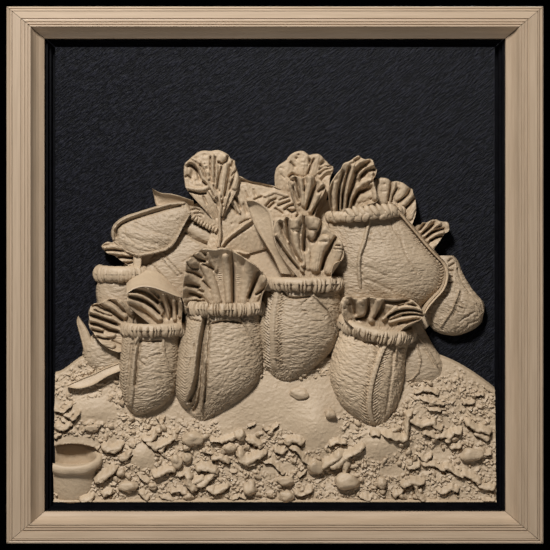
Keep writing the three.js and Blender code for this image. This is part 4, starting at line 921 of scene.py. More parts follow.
              (28.4, 50.3), (28.2, 48.1), (26.5, 44.1), (24.5, 39.6), (22.8, 35.1)],
        folds=[([(14.4, 54.2), (15, 48.1), (16.1, 39.6)], 1.5, 2.4),
               ([(19.2, 54.2), (18.6, 46.9), (17.5, 39.1)], 1.9, 2.6),
               ([(9.6, 52), (11.3, 46.9), (13.3, 40.7)], 1.1, 1.7),
               ([(26.2, 50.3), (23.4, 43.6), (20, 36.3)], 1.7, 2.8),
               ([(27.9, 47.5), (25.1, 42.4), (22.8, 37.4)], 0.7, 1.4),
               ([(11.6, 54.8), (13.3, 49.2), (14.1, 43.6)], 0.7, -4.5),
               ([(10.2, 49.7), (11.3, 44.7), (12.7, 41.3)], 0.6, -3.1), ([(16.4, 55.4), (17.2, 52)], 1, -4.8),
               ([(17.2, 51.4), (16.6, 47.5)], 0.6, -2.5),
               ([(23.1, 54.8), (23.4, 51.4), (21.4, 46.9), (19.4, 41.3), (18.3, 37.9)], 1, -6.4),
               ([(27.3, 49.5), (24.5, 46.9)], 0.9, -4.2),
               ([(26.8, 43), (23.9, 39.1), (21.7, 35.1)], 0.8, -4.2), ([(8.2, 54), (10.2, 52.8)], 0.5, -2.5)],
        knobs=[(10.5, 55.1, 1.5, 0.7, 1.2)],
        level=9.5, lift=6.5, curl=1.3,
    ),
    "left_small": dict(
        base=[(-75.4, 2), (-77.7, 12.2)],
        edge=[(-80.5, 3.7), (-83.9, 5.9), (-88.4, 9), (-91.3, 11), (-94.7, 12.2), (-96.9, 14.1),
              (-98.3, 16.1),
              (-96.9, 17.8), (-94.7, 18.9), (-92.4, 18.4), (-91, 19.5), (-89, 18.4), (-85, 15)],
        folds=[([(-95.8, 15.7), (-90.1, 16.1), (-83.9, 13.3)], 1.4, 2),
               ([(-94.7, 12.7), (-89, 12.2), (-81.7, 11)], 1, 2), ([(-87.3, 8.5), (-80, 7.6)], 1, 1.6),
               ([(-96.9, 16.6), (-94.1, 16.8)], 0.5, -2.2),
               ([(-95.8, 13.9), (-92.4, 14.2), (-89, 14.1), (-85.6, 13.6)], 0.5, -3.4),
               ([(-88.4, 9.9), (-85.6, 10.2), (-80.5, 9.5)], 0.7, -4.2),
               ([(-83.3, 6.5), (-80, 7.5)], 0.6, -2.8)],
        level=6, lift=2, curl=1,
    ),
    "far_right": dict(
        base=[(78.3, 21.2), (86.2, 13.3)],
        edge=[(78.9, 26.8), (80.6, 28.2), (82.3, 28.5), (83.4, 29.7), (85.7, 29.7), (88.5, 31.1),
              (91.3, 31.4),
              (92.4, 30.8), (94.7, 30.2), (97.5, 29.9), (98.6, 28), (98.6, 25.1), (96.4, 24), (95.3, 22.3),
              (93.6, 20.1), (91.3, 16.7), (89.6, 14.4)],
        folds=[([(87.3, 29.7), (82.3, 24)], 1.1, 1.8), ([(93, 29.1), (88.5, 25.7), (84, 21.8)], 1.1, 1.9),
               ([(94.7, 24.3), (90.7, 22.9), (86.2, 19.5)], 1.1, 2), ([(93, 19.5), (88.5, 16.1)], 1.4, 1.6),
               ([(84.5, 28.5), (82.3, 25.7)], 0.7, -3.9),
               ([(89.6, 28.5), (87.3, 26.3), (84, 23.7)], 0.8, -4.2),
               ([(95.3, 26), (91.9, 25.1), (88.5, 24), (85.9, 21.8)], 0.6, -4.5),
               ([(94.1, 21.8), (91.3, 21.2), (87.9, 19.5)], 0.6, -4.5),
               ([(90.7, 26.8), (93, 27.7)], 0.4, -1.8)],
        knobs=[(96.9, 28, 1.7, 1.8, 0.8), (91.6, 28.8, 0.5, 0.5, -1.3), (89.9, 29.9, 0.7, 0.4, -1.2)],
        level=6.5, lift=3, curl=1,
    ),
    "right": dict(
        base=[(34.1, 29), (44.2, 30.1)],
        edge=[(32.4, 33.5), (30.7, 38.5), (30, 43.6), (30.2, 48.1), (31, 50.9), (32.4, 53.7), (34.7, 57.1),
              (36.9, 59.6), (38.6, 62.7), (42, 64.1), (44.8, 66.1), (47, 67.2), (48.7, 65.8), (51, 65),
              (53.2, 65.5), (54.9, 64.4), (56, 61), (57.2, 59.3), (56.9, 56.5), (55.5, 54.6), (55.7, 52),
              (56.3, 49.2), (57.2, 46.4), (58.3, 43.6), (57.2, 41.3), (53.8, 40.2), (50.4, 39.1), (47, 37.4),
              (44.8, 34.6)],
        folds=[([(34.1, 35.7), (33.8, 45.3), (34.4, 51.5)], 1.6, 2.2),
               ([(36.9, 35.7), (37.2, 45.3), (38, 51.5)], 0.6, 1.7),
               ([(39.2, 35.7), (40, 45.3), (41.7, 52.6), (43.7, 58.8), (44.2, 63.3)], 1.1, 2.9),
               ([(42, 37.4), (43.7, 43.6), (46.2, 48.7), (49.3, 52), (53.2, 53.2)], 1.5, 3.1),
               ([(46.2, 54.8), (49.8, 59.1), (53.8, 61.6), (55.5, 61.9)], 0.8, 2.6),
               ([(45.1, 61), (47.6, 63.3), (50.4, 64.3)], 0.8, 2.4), ([(53.8, 58.2), (54.1, 54.8)], 1.6, 1.9),
               ([(55.5, 48.1), (56, 43)], 1.5, 2.4), ([(47.6, 43.6), (52.1, 44.7)], 2.8, 1.2),
               ([(31.6, 38.5), (31.3, 45.8), (32.4, 51.5)], 0.6, -2.2),
               ([(35.8, 35.7), (35.8, 44.2), (36.6, 50.3), (38.6, 57.7)], 0.8, -4.5),
               ([(38.1, 38), (38.6, 47), (40.3, 54.8), (42, 60.5)], 0.8, -4.8),
               ([(40.8, 36.3), (42, 44.7), (44.2, 50.9), (45.9, 56)], 0.9, -4.8),
               ([(45.6, 57.7), (48.7, 61), (53.2, 63.7)], 1.1, -4.2),
               ([(48.7, 56), (51.5, 58.5), (56, 59.3)], 1, -4.2),
               ([(43.1, 37.4), (44.8, 42.8), (47.6, 46.7), (51, 47.5), (53.8, 48.9)], 1.2, -5.6),
               ([(43.7, 62.7), (45.3, 64.4), (47.6, 65.5)], 0.8, -2.8),
               ([(52.7, 52), (54.9, 52.6)], 0.4, -2.1), ([(45.3, 52.6), (45.1, 53.2)], 1.6, -2.1)],
        knobs=[(55.6, 56, 0.7, 1.2, -2), (53.8, 42.8, 0.9, 0.5, -1.4)],
        level=7, lift=9.5, curl=1.6, cup=2,
    ),
    "far_left": dict(
        base=[(-82.9, -41.9), (-80.1, -25)],
        edge=[(-88, -43.6), (-93, -41.9), (-97, -39.1), (-100.4, -35.7), (-102.6, -32.3), (-104.3, -30.1),
              (-104.9, -27.3), (-104.6, -23.9), (-105.1, -21.7), (-104.3, -18.8), (-103.2, -16.9),
              (-100.9, -15.8), (-98.1, -15.5), (-95.9, -14.1), (-93, -13.2), (-89.7, -13.2), (-86.3, -14.3),
              (-82.4, -17.2)],
        folds=[([(-96.4, -15.2), (-90.8, -18.3), (-84.6, -23.3)], 1.6, 2.4),
               ([(-101.5, -18.3), (-96.4, -20.8), (-92.5, -21.7)], 1.1, 1.7),
               ([(-103.2, -20.5), (-97.5, -22.8), (-90.8, -25), (-85.2, -27.8)], 1.1, 2.2),
               ([(-103.2, -25), (-98.1, -27), (-91.9, -29), (-86.3, -31.2)], 1.3, 2.6),
               ([(-102.6, -29.3), (-97.5, -30.9)], 1.1, 1.8),
               ([(-100.4, -33.5), (-95.9, -34.6), (-90.8, -34)], 1.2, 2),
               ([(-97.5, -37.4), (-91.4, -39.7)], 1.8, 1.9), ([(-86.3, -16), (-80.7, -21.1)], 2.3, 1.9),
               ([(-93, -14.3), (-89.7, -16), (-86.9, -18.8), (-85.2, -20.5)], 0.8, -4.5),
               ([(-102.6, -17.7), (-100.4, -17.2), (-98.1, -18.8), (-94.2, -20), (-90.8, -21.7),
                 (-86.3, -25.6)], 0.8, -4.5),
               ([(-98.7, -16.6), (-95.3, -18.8), (-93, -19.4)], 0.5, -2.8),
               ([(-103.7, -22.8), (-99.8, -23.9), (-95.3, -25.6), (-89.7, -27.8)], 0.9, -5),
               ([(-103.7, -27.3), (-99.8, -27.8), (-96.4, -29.5), (-93.6, -31.2), (-89.1, -31.8)], 0.8, -4.5),
               ([(-102.6, -30.9), (-99.8, -31.8), (-97.5, -32.3)], 0.7, -3.6),
               ([(-99.8, -34.6), (-97, -36), (-93.6, -36.1)], 0.5, -2.8),
               ([(-101.5, -19.7), (-96.4, -21.9)], 0.4, -1.8), ([(-91.4, -37.4), (-86.3, -39.7)], 0.6, -1.4)],
        level=9.5, lift=5, curl=1.4,
    ),
    "front_left": dict(
        base=[(-65.8, -31.6), (-52.9, -31.6)],
        edge=[(-68.6, -28.3), (-73.6, -24.4), (-78.6, -20.4), (-82, -16.5), (-82.8, -13.2), (-82.3, -10.4),
              (-80.3, -8.7), (-77.5, -7.3), (-74.2, -6.4), (-70.2, -6.7), (-66.9, -7.3), (-63, -8.7),
              (-59, -10.1), (-55.7, -11.2), (-53.4, -12.3), (-52, -15.4), (-51.8, -20.4), (-52.3, -26.6)],
        folds=[([(-80.9, -10.6), (-74.7, -12), (-69.1, -15.4), (-64.1, -21.6)], 1.2, 2.9),
               ([(-80.9, -14.3), (-74.2, -17.4), (-69.1, -21), (-65.2, -24.9)], 2, 3.4),
               ([(-70.8, -8.1), (-65.8, -13.7), (-63, -20.4)], 0.7, 1.4),
               ([(-62.7, -11.5), (-61, -18.2), (-60.2, -23.8)], 1, 2),
               ([(-56.8, -13.2), (-56.5, -19.3), (-56.5, -24.9)], 1.2, 2.2),
               ([(-53.4, -15.4), (-53.7, -23.2)], 1.1, 1.7),
               ([(-80.9, -9.2), (-77, -8.7), (-73, -9.8), (-69.1, -12), (-65.8, -15.1)], 1, -5.9),
               ([(-81.4, -12.5), (-77, -13.2), (-72.5, -15.1), (-68.6, -17.9), (-65.2, -21.6)], 0.8, -5),
               ([(-68, -9), (-65.8, -11.5)], 1.5, -3.1),
               ([(-60.4, -11.5), (-59.3, -15.4), (-58.2, -19.3), (-58.5, -23.8)], 0.6, -4.5),
               ([(-64.1, -15.4), (-62.4, -19.9), (-61.3, -23.8)], 0.9, -3.6),
               ([(-55.1, -14.3), (-55.1, -22.1)], 0.5, -2.2), ([(-58.5, -12.3), (-56.2, -12.9)], 1.3, -2.2)],
        level=11.5, lift=12.5, curl=3.4,
    ),
    "centre": dict(
        base=[(9.3, -5.9), (30.6, -5.9)],
        edge=[(10.4, -0.3), (6.5, 5.9), (2.6, 12.1), (-0.8, 19.3), (-1.3, 24.9), (-0.2, 29.4), (1.5, 32.2),
              (4.3, 32), (6.5, 32.8), (9.3, 31.7), (12.1, 32), (13.8, 34.2), (16, 33.6), (18.8, 33.1),
              (22.2, 32.8), (25.6, 31.1), (27.8, 29.2), (30, 26.1), (32.3, 23.8), (35.1, 21.3), (37.3, 18.8),
              (38.7, 14.9), (38.7, 10.9), (37.3, 8.4), (34, 7), (32.3, 4.2), (31.7, -0.8)],
        folds=[([(0.9, 22.1), (6.5, 14.3), (15.5, 2)], 1, 2.6),
               ([(4.8, 30.6), (5.9, 23.8), (7.6, 18.2)], 0.7, 1.7), ([(12.1, 30), (11.5, 26.6)], 2.4, 3.1),
               ([(11.5, 22.7), (12.1, 14.3), (15.5, 5.9)], 2, 2.9),
               ([(14.7, 22.1), (15.2, 14.3), (17.2, 5.9)], 0.7, 1.4), ([(20.5, 30), (22.2, 27.7)], 3.8, 3.8),
               ([(21.1, 23.3), (21.6, 21)], 2.2, 2.6), ([(27.8, 19.3), (24.4, 13.2), (22.8, 4.2)], 3.3, 3.4),
               ([(35.7, 17.1), (34.5, 11.5), (30.6, 2.5)], 2.9, 3.4), ([(18.3, 13.2), (18.8, 4.2)], 1.7, 1.2),
               ([(0.9, 20.5), (3.7, 15.4)], 0.9, -3.6), ([(4.3, 14.3), (8.7, 8.7), (13.2, 3.6)], 0.6, -3.9),
               ([(3.4, 28.9), (4.8, 23.3), (8.2, 17.7)], 1.1, -4.2),
               ([(6.8, 31.1), (7.6, 23.8), (8.7, 17.7), (11, 12.1), (14.4, 7)], 1, -5.9),
               ([(16.6, 32.8), (17.4, 26.6), (16.6, 19.9), (16.6, 14.3)], 1.1, -7),
               ([(18.3, 21), (20, 18.8), (22.8, 20.2), (25, 24.9), (26.7, 30.6)], 0.9, -5.3),
               ([(17.7, 25.5), (24.4, 25.5)], 0.4, -1.8),
               ([(34.3, 21), (31.7, 16.5), (28.4, 10.4), (26.4, 3.6)], 0.9, -6.7),
               ([(34, 16.5), (36.2, 16.3)], 0.5, -1.8), ([(31.7, 14.6), (37.9, 14.3)], 0.4, -1.3),
               ([(25, 18.5), (28.9, 18.8)], 0.9, -1.5), ([(8.7, 25.5), (13.8, 26.1)], 0.5, -1.4)],
        knobs=[(26.7, 24.9, 2.2, 2.4, 1.8), (14.4, 28.3, 1, 0.8, -2)],
        level=11, lift=9.5, curl=1.6,
    ),
    "front_middle": dict(
        base=[(-41.6, -21.5), (-9.7, -21.5)],
        edge=[(-49.5, -18.2), (-51.7, -13.7), (-51.7, -8.7), (-51.2, -2.5), (-50, 3.1), (-49.5, 7.6),
              (-46.7, 10.4), (-42.2, 13.7), (-38.8, 15.1), (-33.8, 14.6), (-29.9, 15.4), (-25.4, 14.6),
              (-20.9, 12.3), (-17, 9.8), (-14.2, 8.1), (-10.9, 5.9), (-8.1, 3.1), (-5.3, -0.3), (-3.9, -4.2),
              (-5.3, -7.6), (-6.9, -10.9), (-8.1, -17.6)],
        folds=[([(-39.4, 5.3), (-35.5, -4.2), (-32.7, -14.8)], 2.8, 3.1),
               ([(-37.7, 11.5), (-33.2, 3.1)], 1.2, 1.7),
               ([(-27.6, 9.8), (-26.8, -2.5), (-26, -14.8)], 2.2, 3.1),
               ([(-13.1, 6.4), (-15.9, -4.2), (-18.1, -14.8)], 3.2, 3.4),
               ([(-6.9, -2.5), (-9.7, -9.2), (-12.5, -16.5)], 2.4, 2.9),
               ([(-48.4, -0.8), (-42.2, -4.8), (-36.6, -13.2)], 2.4, 2.2),
               ([(-49.5, -8.1), (-40, -10.4), (-35.5, -15.4)], 1.6, 1.9),
               ([(-15.9, 10.4), (-10.9, 6.4), (-7.5, 2)], 0.7, 1.2),
               ([(-50, -14.3), (-44.4, -13.7), (-38.8, -17.1)], 1.3, 1.7),
               ([(-24, 14.3), (-23.4, 2), (-23.4, -15.4)], 0.8, -5.9),
               ([(-24.8, 14.3), (-23.7, 7.6)], 1.8, -3.6),
               ([(-9.2, 1.4), (-11.7, -5.3), (-14.8, -12.6)], 0.8, -5.3),
               ([(-45.6, 10.4), (-42.8, 8.7), (-39.4, 7.3)], 0.9, -4.5),
               ([(-40, 5.9), (-37.7, 5), (-34.9, 3.4)], 0.8, -3.9),
               ([(-50, 2), (-45, 0.8), (-41.6, -1.4)], 0.7, -3.9),
               ([(-40.5, -3.6), (-36.6, -7.6)], 0.5, -2.8),
               ([(-50, -5.3), (-46.7, -5.9), (-42.8, -6.7)], 0.7, -3.9),
               ([(-42.8, -8.7), (-40.5, -9.5)], 0.6, -2.8),
               ([(-47.8, -10.1), (-45, -10.9), (-42.2, -12.6)], 0.7, -3.4),
               ([(-49.2, 7), (-48.4, 4.8), (-46.1, 3.4), (-43.3, 3.4)], 0.5, -2.5),
               ([(-10.3, -10.9), (-7.5, -9), (-4.7, -7.6)], 0.6, -3.9),
               ([(-41.6, 13.2), (-38.8, 11.5)], 0.9, -3.1),
               ([(-50.6, -18.2), (-47.8, -15.4), (-44.4, -14.6), (-40, -14.8)], 0.5, -2.5)],
        knobs=[(-45.8, 6.2, 2.6, 2, 1.7), (-46.4, 4.8, 1.1, 0.6, -0.8), (-6.7, -4.2, 1.7, 2, 1.6),
               (-17.6, 7.6, 2.1, 3.4, -3.2), (-33.2, 10.9, 1.7, 1.7, -1.2), (-10, 4.2, 1.1, 1.1, 0.8)],
        hatches=[(-31, -2.5, 2.2, 5), (-21.2, -3.6, 1.7, 5.6)],
        level=11, lift=13.3, curl=3.6,
    ),
    "front_right": dict(
        base=[(47.3, -36), (67.4, -36)],
        edge=[(43.9, -29.3), (40, -26), (37.2, -21.5), (36.4, -16.5), (37.8, -12.8), (40.6, -11.7),
              (42.8, -12.6), (47.3, -13.1), (51.2, -12.6), (54, -12.3), (58.4, -12.8), (64, -13.1),
              (69.6, -13.1), (74.1, -13.1), (76.9, -14.2), (79.7, -16.5), (81.9, -19.3), (83.9, -21.5),
              (83, -23.2), (80.8, -25.1), (76.9, -26.5), (72.4, -28.8)],
        folds=[([(39.4, -15.4), (39.7, -20.9), (42.8, -26.5)], 2.2, 2.6),
               ([(47.8, -16.5), (48.9, -22.1)], 2.8, 2.9),
               ([(57.9, -15.4), (56.2, -19.8), (54.2, -25.4)], 2.1, 2.6),
               ([(65.7, -19.8), (70.7, -16.8), (75.8, -15.4)], 0.9, 2.2),
               ([(60.7, -24.9), (65.7, -20.4), (71.8, -18.2), (78, -18.3), (81.3, -19.8)], 1, 2.6),
               ([(64.6, -24.3), (70.7, -21.5), (76.3, -20.8), (81.3, -21.4)], 0.7, 1.9),
               ([(64.6, -26.5), (71.3, -24.6), (76.9, -23.7), (81.3, -23.9)], 1.1, 2.4),
               ([(42.8, -13.1), (43.9, -15.4), (45, -18.2), (45.3, -21.5)], 0.9, -4.5),
               ([(40.6, -16.2), (42.2, -16.2)], 0.5, -2.2),
               ([(52.3, -13.7), (52.6, -18.2), (52, -21.5), (50.6, -23.7), (46.1, -24.9)], 0.8, -5.9),
               ([(60.7, -15.4), (60.1, -18.7), (57.9, -22.1), (56.2, -24.3)], 0.9, -4.5),
               ([(61.8, -14.8), (66.8, -15.4), (74.1, -14.5)], 1.2, -5.9),
               ([(69.1, -17.3), (73, -16.2), (76.3, -16.2), (78.5, -17.3)], 0.6, -3.9),
               ([(63.5, -23.5), (68.5, -20.4), (74.1, -19.6), (78.5, -19.8), (81.3, -20.7)], 0.6, -4.8),
               ([(71.8, -22.6), (75.2, -22), (79.1, -22.1), (83, -22.9)], 0.5, -3.9),
               ([(69.6, -27.1), (74.1, -26.3), (78, -24.9), (80.8, -24.6)], 0.6, -2.8)],
        knobs=[(48.9, -16.8, 1.1, 0.7, -1.2), (38.9, -18.7, 0.8, 0.6, -1.5), (37.7, -14.8, 0.6, 0.7, -1.5),
               (42.8, -25.4, 0.8, 0.6, -1.6)],
        level=13.5, lift=11, curl=3,
    ),
}
HIGHEST = 26.3


# %% A lid's front, point by point
EDGE_ROLL = 1.6
HATCH_PITCH = 1.15


def knobs_height(x, z, knobs):
    return sum(
        proud * math.exp(-(((x - at_x) / half_x) ** 2 + ((z - at_z) / half_z) ** 2))
        for at_x, at_z, half_x, half_z, proud in knobs
    )


def hatches_height(x, z, hatches):
    total = 0.0
    for at_x, at_z, half_x, half_z in hatches:
        inside = bump(x - at_x, half_x) * bump(z - at_z, half_z)
        total += 0.32 * inside * math.cos(2.0 * math.pi * z / HATCH_PITCH)
    return total


LID_STEPS_PER_MM = 1.95
LID_UNDERCUT = 0.88


def lid_surface(lid, seed):
    base = smooth_line(lid["base"], 16)
    edge = smooth_line(lid["edge"])
    width = line_length(edge)
    length = math.hypot(edge[48][0] - base[8][0], edge[48][1] - base[8][1])
    folds = with_boxes(lid["folds"])

    def point_at(u, v):
        share = 1.0 - (1.0 - v) ** 1.25
        spot = Vector(place_on(base, u)).lerp(Vector(place_on(edge, u)), share)
        height = lid["level"] + lid["lift"] * share ** lid["curl"]
        height -= lid.get("dip", 0.0) * math.sin(math.pi * share)
        height += lid.get("cup", 0.0) * (2.0 * u - 1.0) ** 2 * share
        height += folds_height(spot.x, spot.y, folds) + knobs_height(spot.x, spot.y, lid.get("knobs", []))
        height += hatches_height(spot.x, spot.y, lid.get("hatches", []))
        height += (
            0.24 * grain(spot.x * 0.6, spot.y * 0.6, seed)
            + 0.1 * grain(spot.x * 1.7, spot.y * 1.7, seed)
        )
        height += 0.3 * grain(u * width * 0.9, share * length * 0.1, seed + 4.0)
        height = min(height, HIGHEST) - EDGE_ROLL * soft_step(0.965, 1.0, share) ** 2
        return on_panel(spot.x, spot.y, height)

    return point_at, width, length


def fluted_lid(name, lid, seed):
    point_at, width, length = lid_surface(lid, seed)
    columns = round(width * LID_STEPS_PER_MM)
    rows = round(length * LID_STEPS_PER_MM)
    mesh = close_to_panel(shaped_grid(columns, rows, point_at), LID_UNDERCUT)
    # A wrinkled lid takes the clay darkened with painted shade.
    return add_relief_piece(mesh, f"lid_{name}", wrinkled_tan_painted_shade if lid.get("wrinkled") else relief_tan)


for index, (name, lid) in enumerate(LIDS.items()):
    fluted_lid(name, lid, 5.0 + 13.0 * index)
print("bodies, rims and lids:", sum(triangle_count.values()), "triangles")

# %% [markdown]
# ## Plain leaves and thin folds
# Between the pitchers stand a few smooth leaves, and a thin one roofs the front left lid. Each is a sheet
# between two edges that run from its tip to its base. One edge may stand further forward than the other,
# the middle may be hollow or raised, and both edges are rolled.

# %% Leaves: both edges from the tip, with the height of each edge
LEAVES = {
    "blade": dict(
        one=[(-69.5, 49), (-64.5, 46.5), (-57, 45.6), (-46, 42)],
        other=[(-69.5, 48.5), (-68.5, 44), (-66.5, 39), (-57, 38), (-46, 38)], levels=(9, 5), hollow=1.4,
    ),
    "slender": dict(
        one=[(-111.5, -23), (-112.3, -27), (-110, -36), (-107, -47), (-102, -56)],
        other=[(-111, -23.5), (-106, -31), (-102, -42), (-98, -54)], levels=(6, 7), hollow=-1.2,
    ),
    "roof": dict(
        one=[(-84, -3.5), (-81, 0.3), (-76, 2.5), (-69.3, 3), (-63.6, 0.3), (-58, -5.3), (-52.3, -11.5)],
        other=[(-82.6, -10.3), (-78.7, -7.8), (-74.2, -6.6), (-68.6, -7), (-63, -8.7), (-57.4, -10.8),
               (-52.3, -12.6)],
        levels=(8, 23.2), hollow=-1.2,
    ),
    "post": dict(
        one=[(-80, 11.5), (-80.3, 6.5), (-80.6, 2)],
        other=[(-75.2, 10.4), (-75.4, 6), (-76, 1.4)], levels=(9, 10), hollow=-0.6,
    ),
    "stem": dict(
        one=[(-31.5, 40), (-32.2, 32), (-31.8, 24), (-33, 16)],
        other=[(-29.5, 40), (-30.6, 32), (-30.2, 24), (-31, 16)], levels=(12, 12), hollow=-1.5,
    ),
    "tall": dict(
        one=[(-16, 41.5), (-11.5, 41.5), (-7, 39.5), (-3, 36), (-1.2, 30.5), (-0.6, 24.5), (1, 16.5), (5, 9),
             (12.5, 0)],
        other=[(-16, 41), (-14, 34.5), (-10.5, 26), (-5.5, 17.5), (-1, 10),
               (3, 1)], levels=(19, 15), hollow=0.8,
    ),
    "right_edge": dict(
        one=[(67.2, 39.9), (71.4, 35.2), (74.8, 31), (81, 23.6), (86.7, 16.8), (92.3, 10.8), (95.7, 7.2),
             (97.4, 2.4),
             (97.2, -2.7), (95, -8.4), (91, -13), (87, -17.6), (84, -22.6)],
        other=[(66, 38.9), (70, 34.1), (73.6, 29.9), (79.7, 22.6), (85.4, 15.8), (91, 9.8), (94.1, 6.4),
               (95.7, 2),
               (95.5, -2.8), (93.4, -8.1), (89.6, -12.4), (85.8, -16.8), (83, -21.8)],
        levels=(15, 13.5), hollow=0.3,
    ),
    "spoon": dict(
        one=[(-117.5, -62.5), (-109.5, -58.3), (-102, -55.3), (-95, -52), (-84, -48)],
        other=[(-117, -63), (-111, -64), (-106, -63.2), (-100.5, -61), (-94, -57), (-84, -53)],
        levels=(11, 13.5), hollow=0.5,
    ),
}


LEAF_COLUMNS = 26
LEAF_ROWS = 62
LEAF_UNDERCUT = 0.8


def plain_leaf(name, leaf):
    one = smooth_line(leaf["one"])
    other = smooth_line(leaf["other"])

    def point_at(u, v):
        spot = Vector(place_on(one, v)).lerp(Vector(place_on(other, v)), u)
        middle = 1.0 - (2.0 * u - 1.0) ** 2
        height = blend(*leaf["levels"], u) - leaf["hollow"] * middle
        height += 0.7 * bump(abs(2.0 * u - 1.0) - 0.86, 0.12)
        height += (
            0.12 * grain(spot.x * 0.3, spot.y * 0.3, 3.0)
            + 0.05 * grain(spot.x * 1.4, spot.y * 0.3, 6.0)
        )
        return on_panel(spot.x, spot.y, height)

    mesh = close_to_panel(shaped_grid(LEAF_COLUMNS, LEAF_ROWS, point_at), LEAF_UNDERCUT)
    return add_relief_piece(mesh, f"leaf_{name}")


for name, leaf in LEAVES.items():
    plain_leaf(name, leaf)
print("leaves:", len(LEAVES))

# %% [markdown]
# ## The mass behind the clump
# The plants were modelled on one low mound, which fills every gap between the stems so that the casting is
# a single body. Its outline hides behind the plants.

# %% Mass behind the clump
MASS_HEIGHT = 4.5
MASS_OUTLINE = [
    (-96, -14), (-85, 7), (-70, 14), (-50, 38), (-22, 52), (0, 49), (32, 42), (70, 32), (84, 16), (96, -6),
    (90, -26), (82, -34), (90, -50), (90, -60), (-104, -60), (-103, -36),
]


def back_mass():
    mesh = bmesh.new()
    corners = [mesh.verts.new(on_panel(x, z, ROOT_DEPTH)) for x, z in MASS_OUTLINE]
    floor = mesh.faces.new(corners)
    raised = bmesh.ops.extrude_face_region(mesh, geom=[floor])["geom"]
    tops = [part for part in raised if isinstance(part, bmesh.types.BMVert)]
    bmesh.ops.translate(mesh, verts=tops, vec=(0.0, -(MASS_HEIGHT - ROOT_DEPTH) * MM, 0.0))
    return add_relief_piece(mesh, "back_mass")


back_mass()
print("mass height", MASS_HEIGHT, "mm")

# %% [markdown]
# ## The soil
# The ground rises from the panel towards the front edge. Around the plants it is smooth and faintly
# rippled. Elsewhere the clay was torn and pressed into flakes, crumbs and crooked lumps. One fine grid
# carries all of it: broad mounds, lumps drawn as lines, flakes cut from a warped noise, then crumbs. What
# stands up is also pushed downwards a little, so that it overhangs, and a crevice is dug just below each
# lump. Both keep the lower sides dark.

# %% Soil: its slope, mounds and hollows in millimetres
SOIL_FRONT_HEIGHT = 14.0
SOIL_BACK_HEIGHT = 7.0
MOUNDS = [
    (24, -84, 11, 13, 4), (59, -94, 12, 10, 4), (-75, -101, 8, 8, 3.5), (-102, -76, 13, 8, 2.5),
    (-5, -72, 30, 16, 2),
    (30, -112, 9, 7, -2.5), (-40, -90, 14, 8, 1.5), (88, -72, 20, 12, 2), (92, -100, 14, 8, -1.5),
]
SMOOTH_PLACES = [
    (24, -84, 13, 15), (59, -94, 11, 9), (-75, -101, 7, 7), (-101, -76, 13, 7), (0, -72, 44, 15),
    (88, -52, 14, 6),
    (-20, -86, 12, 6), (84, -84, 9, 4), (92, -101, 8, 3.5), (2, -108, 9, 4), (-56, -73, 32, 8),
    (40, -66, 40, 10),
    (-68, -94, 6, 4), (66, -110, 8, 3), (-113, -94, 15, 3.5),
]


def soil_edge(x):
    left = -45.0 - 10.0 * soft_step(106.0, 125.0, -x)
    right = -44.0 - 20.0 * (max(x - 88.0, 0.0) / 37.0) ** 1.5
    return min(left, right)


def soil_height(x, z):
    up = clamp((z - RELIEF_BOTTOM) / (soil_edge(x) - RELIEF_BOTTOM))
    height = blend(SOIL_FRONT_HEIGHT, SOIL_BACK_HEIGHT, up**1.3)
    for at_x, at_z, half_x, half_z, rise in MOUNDS:
        height += rise * math.exp(-(((x - at_x) / half_x) ** 2 + ((z - at_z) / half_z) ** 2))
    return height


def smoothness(x, z):
    ragged = 0.35 * grain(x * 0.12, z * 0.12, 83.0)
    calm = soft_step(-6.0, -1.0, z - soil_edge(x))
    for at_x, at_z, half_x, half_z in SMOOTH_PLACES:
        away = ((x - at_x) / half_x) ** 2 + ((z - at_z) / half_z) ** 2 + ragged
        calm = max(calm, 1.0 - soft_step(0.75, 1.15, away))
    return calm


